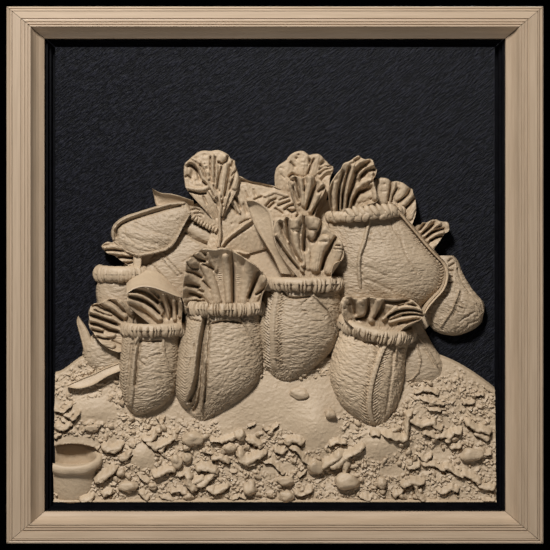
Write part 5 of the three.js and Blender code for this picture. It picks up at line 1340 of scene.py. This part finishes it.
# %% Lumps of clay, as lines with half a width and a height in millimetres
LUMPS = [
    ([(-95.5, -96.1), (-91.5, -97.8), (-87.6, -95.5)], 2.3, 2.6),
    ([(-87, -102.3), (-83.1, -101.7), (-81.4, -100)], 1.8, 2.4),
    ([(-99.4, -114.1), (-95.5, -111.3), (-90.9, -108.5)], 2.4, 3),
    ([(-107.9, -125.9), (-104.5, -123.7)], 2.3, 3), ([(-72.9, -91.6), (-69.5, -91), (-68.4, -89.3)], 2, 2.4),
    ([(-70.7, -93.3), (-66.2, -96.6), (-60.5, -93.3), (-56.6, -90.4)], 1.7, 2.6),
    ([(-63.9, -98.3), (-61.6, -94.9)], 1.5, 2), ([(-56.6, -87.6), (-56, -91.6)], 1.2, 2),
    ([(-67.3, -110.7), (-63.3, -109.6), (-57.7, -107.9)], 2.1, 3),
    ([(-58.3, -120.9), (-53.8, -119.7), (-50.4, -121.4)], 1.4, 2.2),
    ([(-48.1, -111.9), (-48.1, -115.8), (-45.3, -119.2)], 2.6, 3.2),
    ([(-44.2, -115.2), (-41.4, -113)], 2, 2.6),
    ([(-123.6, -74.7), (-119.1, -75.8), (-115.7, -72.4)], 1.4, 2),
    ([(-118, -78), (-113.5, -80.3), (-111.2, -76.9)], 1.2, 2),
    ([(-123.6, -84.8), (-119.1, -85.9), (-116.3, -83.1)], 1.7, 2.2),
    ([(-124.2, -91), (-120.8, -89.3)], 1.1, 1.6),
    ([(-66.2, -80.3), (-63.3, -83.7), (-62.2, -79.7)], 0.9, 1.6),
    ([(-120.3, -82), (-114.6, -83.7)], 1.1, 1.6),
    ([(-106.7, -83.7), (-103.3, -82), (-99.4, -84.8)], 0.9, 1.2),
    ([(-35.7, -92.7), (-30.1, -92.7), (-22.2, -90.4)], 1.2, 2.2),
    ([(-14.9, -91.6), (-11.5, -93.3), (-8.7, -95.5)], 2, 2.4),
    ([(-34, -102.3), (-30.1, -101.7), (-26.7, -104)], 2, 2.6),
    ([(-19.9, -99.5), (-16.6, -104), (-12.1, -101.7), (-7.6, -99.5)], 2.4, 3),
    ([(-15.4, -105.7), (-11.5, -105.1)], 1.7, 2), ([(-42.5, -107.3), (-38, -107.3), (-34, -109)], 2.3, 2.8),
    ([(-41.9, -116.9), (-38.5, -114.1), (-35.7, -111.9)], 2.3, 2.8),
    ([(-38, -119.2), (-33.5, -120.9), (-26.7, -118.1)], 1.7, 2.4),
    ([(-5.9, -104.5), (-1.4, -105.1), (2, -107.9), (4.8, -111.3)], 0.8, 1.8),
    ([(11.6, -121.4), (15.6, -122.6), (19.5, -120.3)], 1.7, 2.4),
    ([(0.3, -97.2), (3.2, -97.8), (5.4, -97.8)], 1.7, 2.2),
    ([(7.7, -92.7), (10.5, -92.1), (13.9, -93.3)], 2.3, 2.4),
    ([(8.8, -96.6), (13.3, -98.9), (17.2, -102.8), (21.2, -106.2)], 1.5, 2.6),
    ([(27.4, -105.7), (31.9, -103.4), (36.4, -99.5)], 2.5, 3.2),
    ([(30.8, -94.9), (35.3, -92.7), (39.2, -93.3)], 1.5, 2.2),
    ([(-23.9, -125.4), (-19.9, -123.1), (-16, -125.9)], 0.9, 1.6),
    ([(-6.4, -85.4), (-1.9, -87.1), (1.5, -83.7)], 0.8, 1.4), ([(-14.9, -84.8), (-10.9, -84.2)], 0.7, 1.2),
    ([(61.2, -88.2), (66.8, -89.9), (73, -91), (74.7, -85.9), (75.3, -76.9)], 1.8, 3),
    ([(54.4, -87.6), (57.3, -88.2)], 1.7, 2),
    ([(33, -107.3), (37.5, -102.8), (42, -99.5), (47.7, -96.1)], 2.4, 3.2),
    ([(39.8, -102.8), (39.8, -108.5)], 2.3, 2.6), ([(73.6, -116.4), (77, -115.2), (82, -115.8)], 2.5, 3),
    ([(78.1, -117.5), (80.4, -122), (83.2, -125.4)], 1.7, 2.4),
    ([(81.5, -101.7), (84.9, -102.8), (87.7, -101.1)], 1.2, 1.8), ([(75.8, -108.5), (80.4, -105.7)], 1.4, 2),
    ([(83.7, -105.1), (89.4, -106.2), (95, -109)], 1.4, 2.2),
    ([(96.1, -107.3), (101.8, -109.6), (105.1, -112.4)], 1.5, 2.4),
    ([(106.3, -110.7), (110.8, -113), (114.7, -115.2)], 1.5, 2.4),
    ([(108.5, -82.6), (113, -85.4), (120.4, -87.1)], 1.9, 3), ([(114.2, -88.8), (119.8, -91)], 1.5, 2),
    ([(96.7, -92.7), (100.1, -87.6), (104.6, -87.1)], 1.7, 2.6), ([(99.5, -96.1), (104, -94.9)], 1.4, 2),
    ([(79.8, -65.6), (83.7, -63.4), (87.1, -64.5), (91.6, -66.2)], 1, 1.8),
    ([(83.7, -69), (89.4, -70.7), (95.6, -72.4)], 1.1, 1.8), ([(106.3, -71.3), (111.9, -71.8)], 1, 1.6),
    ([(113, -67.3), (117.5, -66.8)], 1.1, 1.8), ([(87.1, -74.7), (93.3, -75.8)], 1, 1.8),
    ([(77, -81.4), (82.6, -83.7), (88.2, -82), (92.8, -85.9)], 1.4, 2.2),
    ([(84.3, -88.2), (90.5, -90.4), (96.1, -90.4)], 1.4, 2.2), ([(115.3, -98.3), (120.9, -99.5)], 1.4, 2.2),
    ([(116.4, -117.5), (122.1, -119.2)], 1.8, 2.4), ([(117.5, -125.9), (122.1, -125.9)], 1.4, 2),
    ([(67.4, -123.1), (71.3, -120.9)], 1.4, 2), ([(92.8, -120.9), (98.4, -118.6), (102.9, -120.9)], 1.5, 2),
    ([(47.7, -123.7), (53.3, -125.4)], 1.4, 1.8), ([(13.9, -112.4), (17.2, -110.2)], 1.1, 1.6),
    ([(-75.2, -122), (-71.8, -124.8)], 1.5, 2), ([(-96.6, -123.1), (-92.1, -120.9)], 1.5, 2),
    ([(-63.3, -123.7), (-58.3, -125.4)], 1.4, 1.8), ([(-75.7, -113), (-71.8, -115.2)], 1.4, 1.8),
    ([(-39.7, -98.3), (-35.7, -99.5)], 1.1, 1.6), ([(-49.2, -109.6), (-53.8, -111.9)], 1.5, 2),
]


# %% Flakes, crumbs and the soil itself
SOIL_COLUMNS = 522
SOIL_ROWS = 178
SOIL_UNDERCUT = 1.0
OVERHANG = 0.45
LUMP_GAIN = 1.45
CREVICE_DROP = 1.2
CREVICE_DEPTH = 1.8
LIP_HEIGHT = 16.0
POT_MIDDLE = (-114.5, -101.5)
POT_BED = 0.6


def gravel_height(x, z):
    warp_x = 2.8 * grain(x * 0.2, z * 0.2, 31.0)
    warp_z = 2.8 * grain(x * 0.2, z * 0.2, 47.0)
    wide = grain((x + warp_x) * 0.11, (z + warp_z) * 0.19, 3.0)
    small = grain((x + warp_z) * 0.24, (z + warp_x) * 0.36, 15.0)
    crumbs = grain((x + warp_x) * 0.5, (z + warp_z) * 0.62, 19.0)
    height = 0.6 * soft_step(0.03, 0.14, wide) * (1.0 - 0.6 * soft_step(0.14, 0.5, wide))
    height += 0.8 * soft_step(0.08, 0.26, small) * (1.0 - 0.5 * soft_step(0.26, 0.6, small))
    height += 0.9 * soft_step(0.06, 0.34, crumbs)
    height -= 1.6 * valley(small, 0.11) + 1.2 * valley(wide, 0.06)
    height += 0.5 * soft_step(0.08, 0.24, grain(x * 0.8, z * 0.95, 27.0))
    return height - 0.5 + 0.5 * grain(x * 1.1, z * 1.1, 23.0)


def ripple_height(x, z):
    flow = z + 0.3 * x + 9.0 * grain(x * 0.035, z * 0.035, 61.0)
    shown = soft_step(-0.1, 0.3, grain(x * 0.07, z * 0.07, 71.0))
    return (
        0.07 * shown * math.cos(flow * 3.9)
        + 0.3 * grain(x * 0.3, z * 0.4, 67.0)
        + 0.26 * grain(x * 0.8, z, 69.0)
    )


def soil_point(u, v):
    x = blend(-RELIEF_HALF_WIDTH, RELIEF_HALF_WIDTH, u)
    top = soil_edge(x)
    z = blend(RELIEF_BOTTOM, top, v)
    calm = smoothness(x, z)
    raised = calm * ripple_height(x, z)
    if calm < 1.0:
        raised += (1.0 - calm) * gravel_height(x, z)
    bent_x = x + 1.4 * grain(x * 0.14, z * 0.14, 91.0) + 0.9 * grain(x * 0.45, z * 0.45, 93.0)
    bent_z = z + 1.4 * grain(x * 0.14, z * 0.14, 95.0) + 0.9 * grain(x * 0.45, z * 0.45, 97.0)
    lump = folds_height(bent_x, bent_z, lumps)
    above = folds_height(bent_x, bent_z + CREVICE_DROP, lumps)
    raised = max(raised, 0.15 * raised + LUMP_GAIN * lump)
    raised -= CREVICE_DEPTH * clamp(above) * (1.0 - clamp(2.0 * lump))
    height = soil_height(x, z) + raised - 3.5 * soft_step(-2.2, 0.0, z - top) ** 2
    height = blend(LIP_HEIGHT, height, soft_step(0.6, 1.4, z - RELIEF_BOTTOM))
    lowered = OVERHANG * max(raised, 0.0) * soft_step(0.0, 2.5, z - RELIEF_BOTTOM)
    from_pot = ((x - POT_MIDDLE[0]) / 16.0) ** 2 + ((z - POT_MIDDLE[1]) / 6.2) ** 2
    height = min(height, blend(POT_BED, height, soft_step(0.7, 1.1, from_pot)))
    return on_panel(x, z - lowered, height)


lumps = with_boxes(LUMPS)
soil_mesh = close_to_panel(shaped_grid(SOIL_COLUMNS, SOIL_ROWS, soil_point), SOIL_UNDERCUT)
add_relief_piece(soil_mesh, "soil")
print("soil:", triangle_count["soil"], "triangles and", len(LUMPS), "lumps")

# %% [markdown]
# ## Stones and scraps
# Twenty stones stand out of the gravel, rounded and pitted, and 250 small scraps of clay lie between them.
# A stone is an icosphere pressed out of round by noise. The scraps are small icospheres, drawn out and
# turned at random from a seeded stream, and joined as one piece.

# %% Stones: place and half-sizes across, up and forward in millimetres
STONES = [
    (13.9, -66.8, 5.4, 3.1, 2), (31, -78, 3.1, 2.8, 3), (40.3, -116.1, 6.8, 4.8, 4.5),
    (110.5, -101.1, 6.5, 3.9, 3.5), (59.8, -116.9, 3.1, 3.4, 3), (-46.4, -92.1, 5.6, 4.2, 3.5),
    (-49.8, -96.9, 2.3, 2, 2.2), (-55.4, -104.8, 3.4, 3.7, 3), (-49.5, -103.1, 2.8, 3.1, 2.8),
    (-82.2, -118.9, 5.4, 3.1, 3), (-68.7, -118.9, 2.5, 2, 2.2), (-19.7, -89.9, 3.1, 3.4, 3),
    (-25.6, -97.2, 3.8, 2.9, 2.8), (-14, -119.7, 3.9, 4.5, 3.5), (6.5, -124.3, 4.2, 3.4, 3),
    (6, -115.8, 4.8, 2.9, 2.8), (22.3, -107.9, 4.5, 4.5, 3.5), (-103.3, -86.2, 3.9, 2.4, 2.2),
    (-48.7, -124.5, 3.1, 2.1, 2.4), (-86.7, -111, 2.5, 2.5, 2.4),
]
SUNK = 0.5


def rough_ball(mesh, subdivisions, place, sizes, turn, roughness, seed):
    ball = bmesh.ops.create_icosphere(mesh, subdivisions=subdivisions, radius=1.0)["verts"]
    for vert in ball:
        shape = roughness * noise.noise(vert.co * 1.2 + Vector((seed, 0.0, 0.0)))
        pits = 0.16 * roughness * noise.noise(vert.co * 5.0 + Vector((seed, 0.0, 7.0)))
        vert.co *= 1.0 + shape + pits
    half_x, half_z, half_y = sizes
    bmesh.ops.scale(mesh, verts=ball, vec=(half_x * MM, half_y * MM, half_z * MM))
    bmesh.ops.rotate(mesh, verts=ball, cent=(0.0, 0.0, 0.0), matrix=Matrix.Rotation(turn, 3, "Y"))
    bmesh.ops.translate(mesh, verts=ball, vec=on_panel(*place))


def place_stones():
    mesh = bmesh.new()
    for index, (x, z, *sizes) in enumerate(STONES):
        rough_ball(mesh, 4, (x, z, soil_height(x, z) + sizes[2] * SUNK), sizes, 0.0, 0.3, 3.0 * index)
    return add_relief_piece(mesh, "stones")


place_stones()
print("stones:", len(STONES), "with", triangle_count["stones"], "triangles")

# %% Scraps
SCRAP_COUNT = 250
SCRAP_SEED = 5
SCRAP_MARGIN = 3.0
SCRAP_TOP = -50.0
SCRAP_SIZES = (0.7, 1.6)
SCRAP_STRETCH = (1.0, 1.9)
SCRAP_TURN = 2.4
POT_CORNER = (-96, -88)


def draws_from(seed):
    state = seed
    while True:
        state = (state * 1664525 + 1013904223) % 4294967296
        yield state / 4294967296


def scatter_scraps():
    mesh = bmesh.new()
    draw = draws_from(SCRAP_SEED)
    placed = 0
    while placed < SCRAP_COUNT:
        x = blend(-RELIEF_HALF_WIDTH + SCRAP_MARGIN, RELIEF_HALF_WIDTH - SCRAP_MARGIN, next(draw))
        z = blend(RELIEF_BOTTOM + 2.5, SCRAP_TOP, next(draw))
        size = blend(*SCRAP_SIZES, next(draw) ** 2)
        long = blend(*SCRAP_STRETCH, next(draw))
        turn = (next(draw) - 0.5) * SCRAP_TURN
        in_pot = x < POT_CORNER[0] and z < POT_CORNER[1]
        if in_pot or z > soil_edge(x) - SCRAP_MARGIN or smoothness(x, z) > 0.3:
            continue
        height = soil_height(x, z) + 0.6 * size
        rough_ball(mesh, 2, (x, z, height), (size * long, size, size * 1.2), turn, 0.5, placed * 1.7)
        placed += 1
    return add_relief_piece(mesh, "scraps")


scatter_scraps()
print("scraps:", SCRAP_COUNT, "with", triangle_count["scraps"], "triangles")

# %% [markdown]
# ## Teeth and strands
# A row of small teeth hangs from the cuff of the back left plant, and the rim of the big right pitcher is
# twisted like a rope on its right half. Both are rows of drawn-out balls that are turned alike and set
# along a line.

# %% Teeth and strands
TEETH_LINE = [(-46, 32.6), (-43, 30.4), (-39, 28), (-36.4, 26.6), (-33.2, 25.4)]
TEETH_LEVEL = 10.5
STRAND_LINE = [(42.4, 34.6), (50, 35.4), (58, 36.4), (65.8, 37)]


def row_of_balls(name, count, line, level_at, sizes, turn, seed):
    mesh = bmesh.new()
    path = smooth_line(line)
    for index in range(count):
        x, z = place_on(path, index / (count - 1.0))
        height = level_at(x) + 0.3 * noise.cell(Vector((index, seed, 0.0)))
        lean = turn + 0.25 * noise.cell(Vector((index, seed, 5.0)))
        rough_ball(mesh, 3, (x, z, height), sizes, lean, 0.22, seed + 2.3 * index)
    return add_relief_piece(mesh, name)


def right_rim_level(x):
    middle, down, side, half = station_of(PITCHERS["right"], 0.0)
    bulge = PITCHERS["right"]["swell"] * MOUTH_PINCH + 1.6
    return PITCHERS["right"]["level"] + bulge * math.sqrt(clamp(1.0 - ((x - middle.x) / half) ** 2, 0.05))


row_of_balls("cuff_teeth", 9, TEETH_LINE, lambda x: TEETH_LEVEL, (0.95, 1.7, 1.8), 0.45, 4.0)
row_of_balls("rim_strands", 8, STRAND_LINE, right_rim_level, (1.9, 3.9, 2.2), -0.5, 9.0)
print("teeth and strands:", triangle_count["cuff_teeth"] + triangle_count["rim_strands"], "triangles")

# %% [markdown]
# ## The empty pot
# A small thick-rimmed pot stands in the gravel at the far left, tipped towards the viewer and cut off by
# the edge of the relief. It is turned from half a section with a spin, flattened as deep relief is, and cut
# with a plane.

# %% Pot
POT_PROFILE = [
    (0.0, -24.5), (10.5, -24.5), (13.0, -22.5), (13.8, -16.0), (14.2, -8.0), (14.8, -5.4), (16.6, -4.6),
    (17.5, -3.0),
    (17.6, -1.4), (17.0, -0.1), (15.8, 0.4), (14.4, 0.1), (13.6, -1.0), (13.2, -3.4), (12.8, -8.0),
    (12.0, -13.0),
    (10.2, -15.0), (0.0, -15.5),
]
POT_LEVEL = 12.8
POT_TILT = math.radians(22.0)
POT_FLATTENING = 0.6
POT_STEPS = 100
POT_SECTION_STEPS = 64
POT_DENT = 0.35


def empty_pot():
    mesh = bmesh.new()
    section = smooth_line(POT_PROFILE, POT_SECTION_STEPS)
    profile = [mesh.verts.new((max(radius, 0.0) * MM, 0.0, height * MM)) for radius, height in section]
    edges = [mesh.edges.new(pair) for pair in zip(profile, profile[1:])]
    bmesh.ops.spin(
        mesh, geom=profile + edges, cent=(0.0, 0.0, 0.0), axis=(0.0, 0.0, 1.0),
        angle=2.0 * math.pi, steps=POT_STEPS, use_merge=True,
    )
    bmesh.ops.remove_doubles(mesh, verts=mesh.verts, dist=WELD * MM)
    for vert in mesh.verts:
        vert.co *= 1.0 + POT_DENT * MM * noise.noise(vert.co * 160.0) / max(vert.co.length, 0.005)
    bmesh.ops.rotate(mesh, verts=mesh.verts, cent=(0.0, 0.0, 0.0), matrix=Matrix.Rotation(POT_TILT, 3, "X"))
    bmesh.ops.scale(mesh, verts=mesh.verts, vec=(1.0, POT_FLATTENING, 1.0))
    bmesh.ops.translate(mesh, verts=mesh.verts, vec=on_panel(*POT_MIDDLE, POT_LEVEL))
    cut = bmesh.ops.bisect_plane(
        mesh, geom=mesh.verts[:] + mesh.edges[:] + mesh.faces[:], dist=0.001 * MM,
        plane_co=(-RELIEF_HALF_WIDTH * MM, 0.0, 0.0), plane_no=(-1.0, 0.0, 0.0), clear_outer=True,
    )["geom_cut"]
    bmesh.ops.holes_fill(mesh, edges=[part for part in cut if isinstance(part, bmesh.types.BMEdge)], sides=0)
    return add_relief_piece(mesh, "empty_pot")


empty_pot()
print("pot:", triangle_count["empty_pot"], "triangles")

# %% [markdown]
# ## Finishes on the CAD parts
# The rails, slips, panel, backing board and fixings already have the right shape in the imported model, so
# they stay and only take their finish.

# %% Finishes on the CAD parts
FINISH_OF = {
    "frame_rail_left": side_tan_painted_shade,
    "frame_rail_right": side_tan_painted_shade,
    "frame_rail_top": end_tan_painted_light,
    "frame_rail_bottom": end_tan_painted_light,
    "slip": slip_black,
    "panel": panel_dark,
    "backing_board": backing_brown,
    "backing_screw": fixing_steel,
    "hanger": fixing_steel,
}
for name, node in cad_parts.items():
    for start, finish in FINISH_OF.items():
        if name.startswith(start):
            node.data.materials.clear()
            node.data.materials.append(finish)
print("finished CAD nodes:", len(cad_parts) - 1)

# %% [markdown]
# ## Floor and light
# The plaque hangs well above a plain pale floor. Two lamps of one size stand almost in one place, above and
# to the left. The inner key makes the shadows that give the relief its depth, and the rails and slips
# neither take its light nor stop it, so the frame casts no shadow on the relief. The frame key lights the
# rails and slips only, and only they stop it. Weaker lamps keep the shaded sides readable: one on each
# side, which leaves out the panel so that it stays dark, one below for everything and one there for the
# rails alone, and one behind.

# %% Floor and light
FLOOR_HEIGHT = -0.9
KEY_PLACE = (-0.27, -0.86, 0.78)
KEY_SIZE = 0.16
KEY_POWER = 19.2
FRAME_KEY_PLACE = (-0.27, -0.88, 0.76)
INNER_KEY_GAIN = 1.1
FRAME_KEY_GAIN = 0.97
BELOW_PLACE = (0.1, -1.0, -1.0)
BELOW_SIZE = 1.2
FRAME_AND_SLIP = ("frame_rail", "slip")


def pale_floor():
    mesh = bmesh.new()
    bmesh.ops.create_grid(mesh, x_segments=1, y_segments=1, size=1.5)
    bmesh.ops.translate(mesh, verts=mesh.verts, vec=(0.0, -1.0, FLOOR_HEIGHT))
    data = bpy.data.meshes.new("floor")
    mesh.to_mesh(data)
    mesh.free()
    material, tree, shader = new_finish("pale_floor", 0.7)
    shader.inputs["Base Color"].default_value = (0.72, 0.71, 0.69, 1.0)
    data.materials.append(material)
    floor = bpy.data.objects.new("floor", data)
    bpy.context.scene.collection.objects.link(floor)


def lamp(name, place, size, energy):
    data = bpy.data.lights.new(name, "AREA")
    data.size = size
    data.energy = energy
    light = bpy.data.objects.new(name, data)
    light.location = place
    light.rotation_euler = (-Vector(place)).to_track_quat("-Z", "Y").to_euler()
    bpy.context.scene.collection.objects.link(light)
    return light


def linked_nodes(name, starts, state):
    picked = bpy.data.collections.new(name)
    for node_name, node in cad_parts.items():
        if node_name.startswith(starts):
            picked.objects.link(node)
    for member in picked.collection_objects:
        member.light_linking.link_state = state
    return picked


def let_light_pass(light, starts):
    light.light_linking.blocker_collection = linked_nodes("passed_by_" + light.name, starts, "EXCLUDE")


def light_others(light, starts, state):
    light.light_linking.receiver_collection = linked_nodes("seen_by_" + light.name, starts, state)


pale_floor()
inner_key = lamp("inner_key", KEY_PLACE, KEY_SIZE, INNER_KEY_GAIN * KEY_POWER)
let_light_pass(inner_key, FRAME_AND_SLIP)
light_others(inner_key, FRAME_AND_SLIP, "EXCLUDE")
frame_key = lamp("frame_key", FRAME_KEY_PLACE, KEY_SIZE, FRAME_KEY_GAIN * KEY_POWER)
stops_frame_key = linked_nodes("stops_frame_key", FRAME_AND_SLIP, "INCLUDE")
frame_key.light_linking.blocker_collection = stops_frame_key
light_others(frame_key, FRAME_AND_SLIP, "INCLUDE")
left_fill = lamp("left_fill", (-1.3, -0.7, 0.1), 0.9, 1.1)
right_fill = lamp("right_fill", (1.3, -0.9, -0.2), 1.2, 1.2)
for side_fill in (left_fill, right_fill):
    light_others(side_fill, ("panel",), "EXCLUDE")
lamp("below", BELOW_PLACE, BELOW_SIZE, 1.2)
frame_fill = lamp("frame_fill", BELOW_PLACE, BELOW_SIZE, 4.4)
light_others(frame_fill, ("frame_rail",), "INCLUDE")
lamp("back", (0.5, 1.2, 0.7), 0.8, 9.0)
world = bpy.data.worlds.new("studio")
world.use_nodes = True
world.node_tree.nodes["Background"].inputs["Color"].default_value = (0.5, 0.5, 0.55, 1.0)
world.node_tree.nodes["Background"].inputs["Strength"].default_value = 0.0004
bpy.context.scene.world = world
bpy.context.scene.view_settings.view_transform = "Standard"
print("lights:", [item.name for item in bpy.data.lights])

# %% [markdown]
# ## The triangle counts
# The new pieces' triangles are counted as they are made, and the total and the largest are printed.
# The dressed model must stay inside the imported one's box.

# %% Triangle counts
print("triangles in all:", sum(triangle_count.values()), "most:", max(triangle_count.values()))
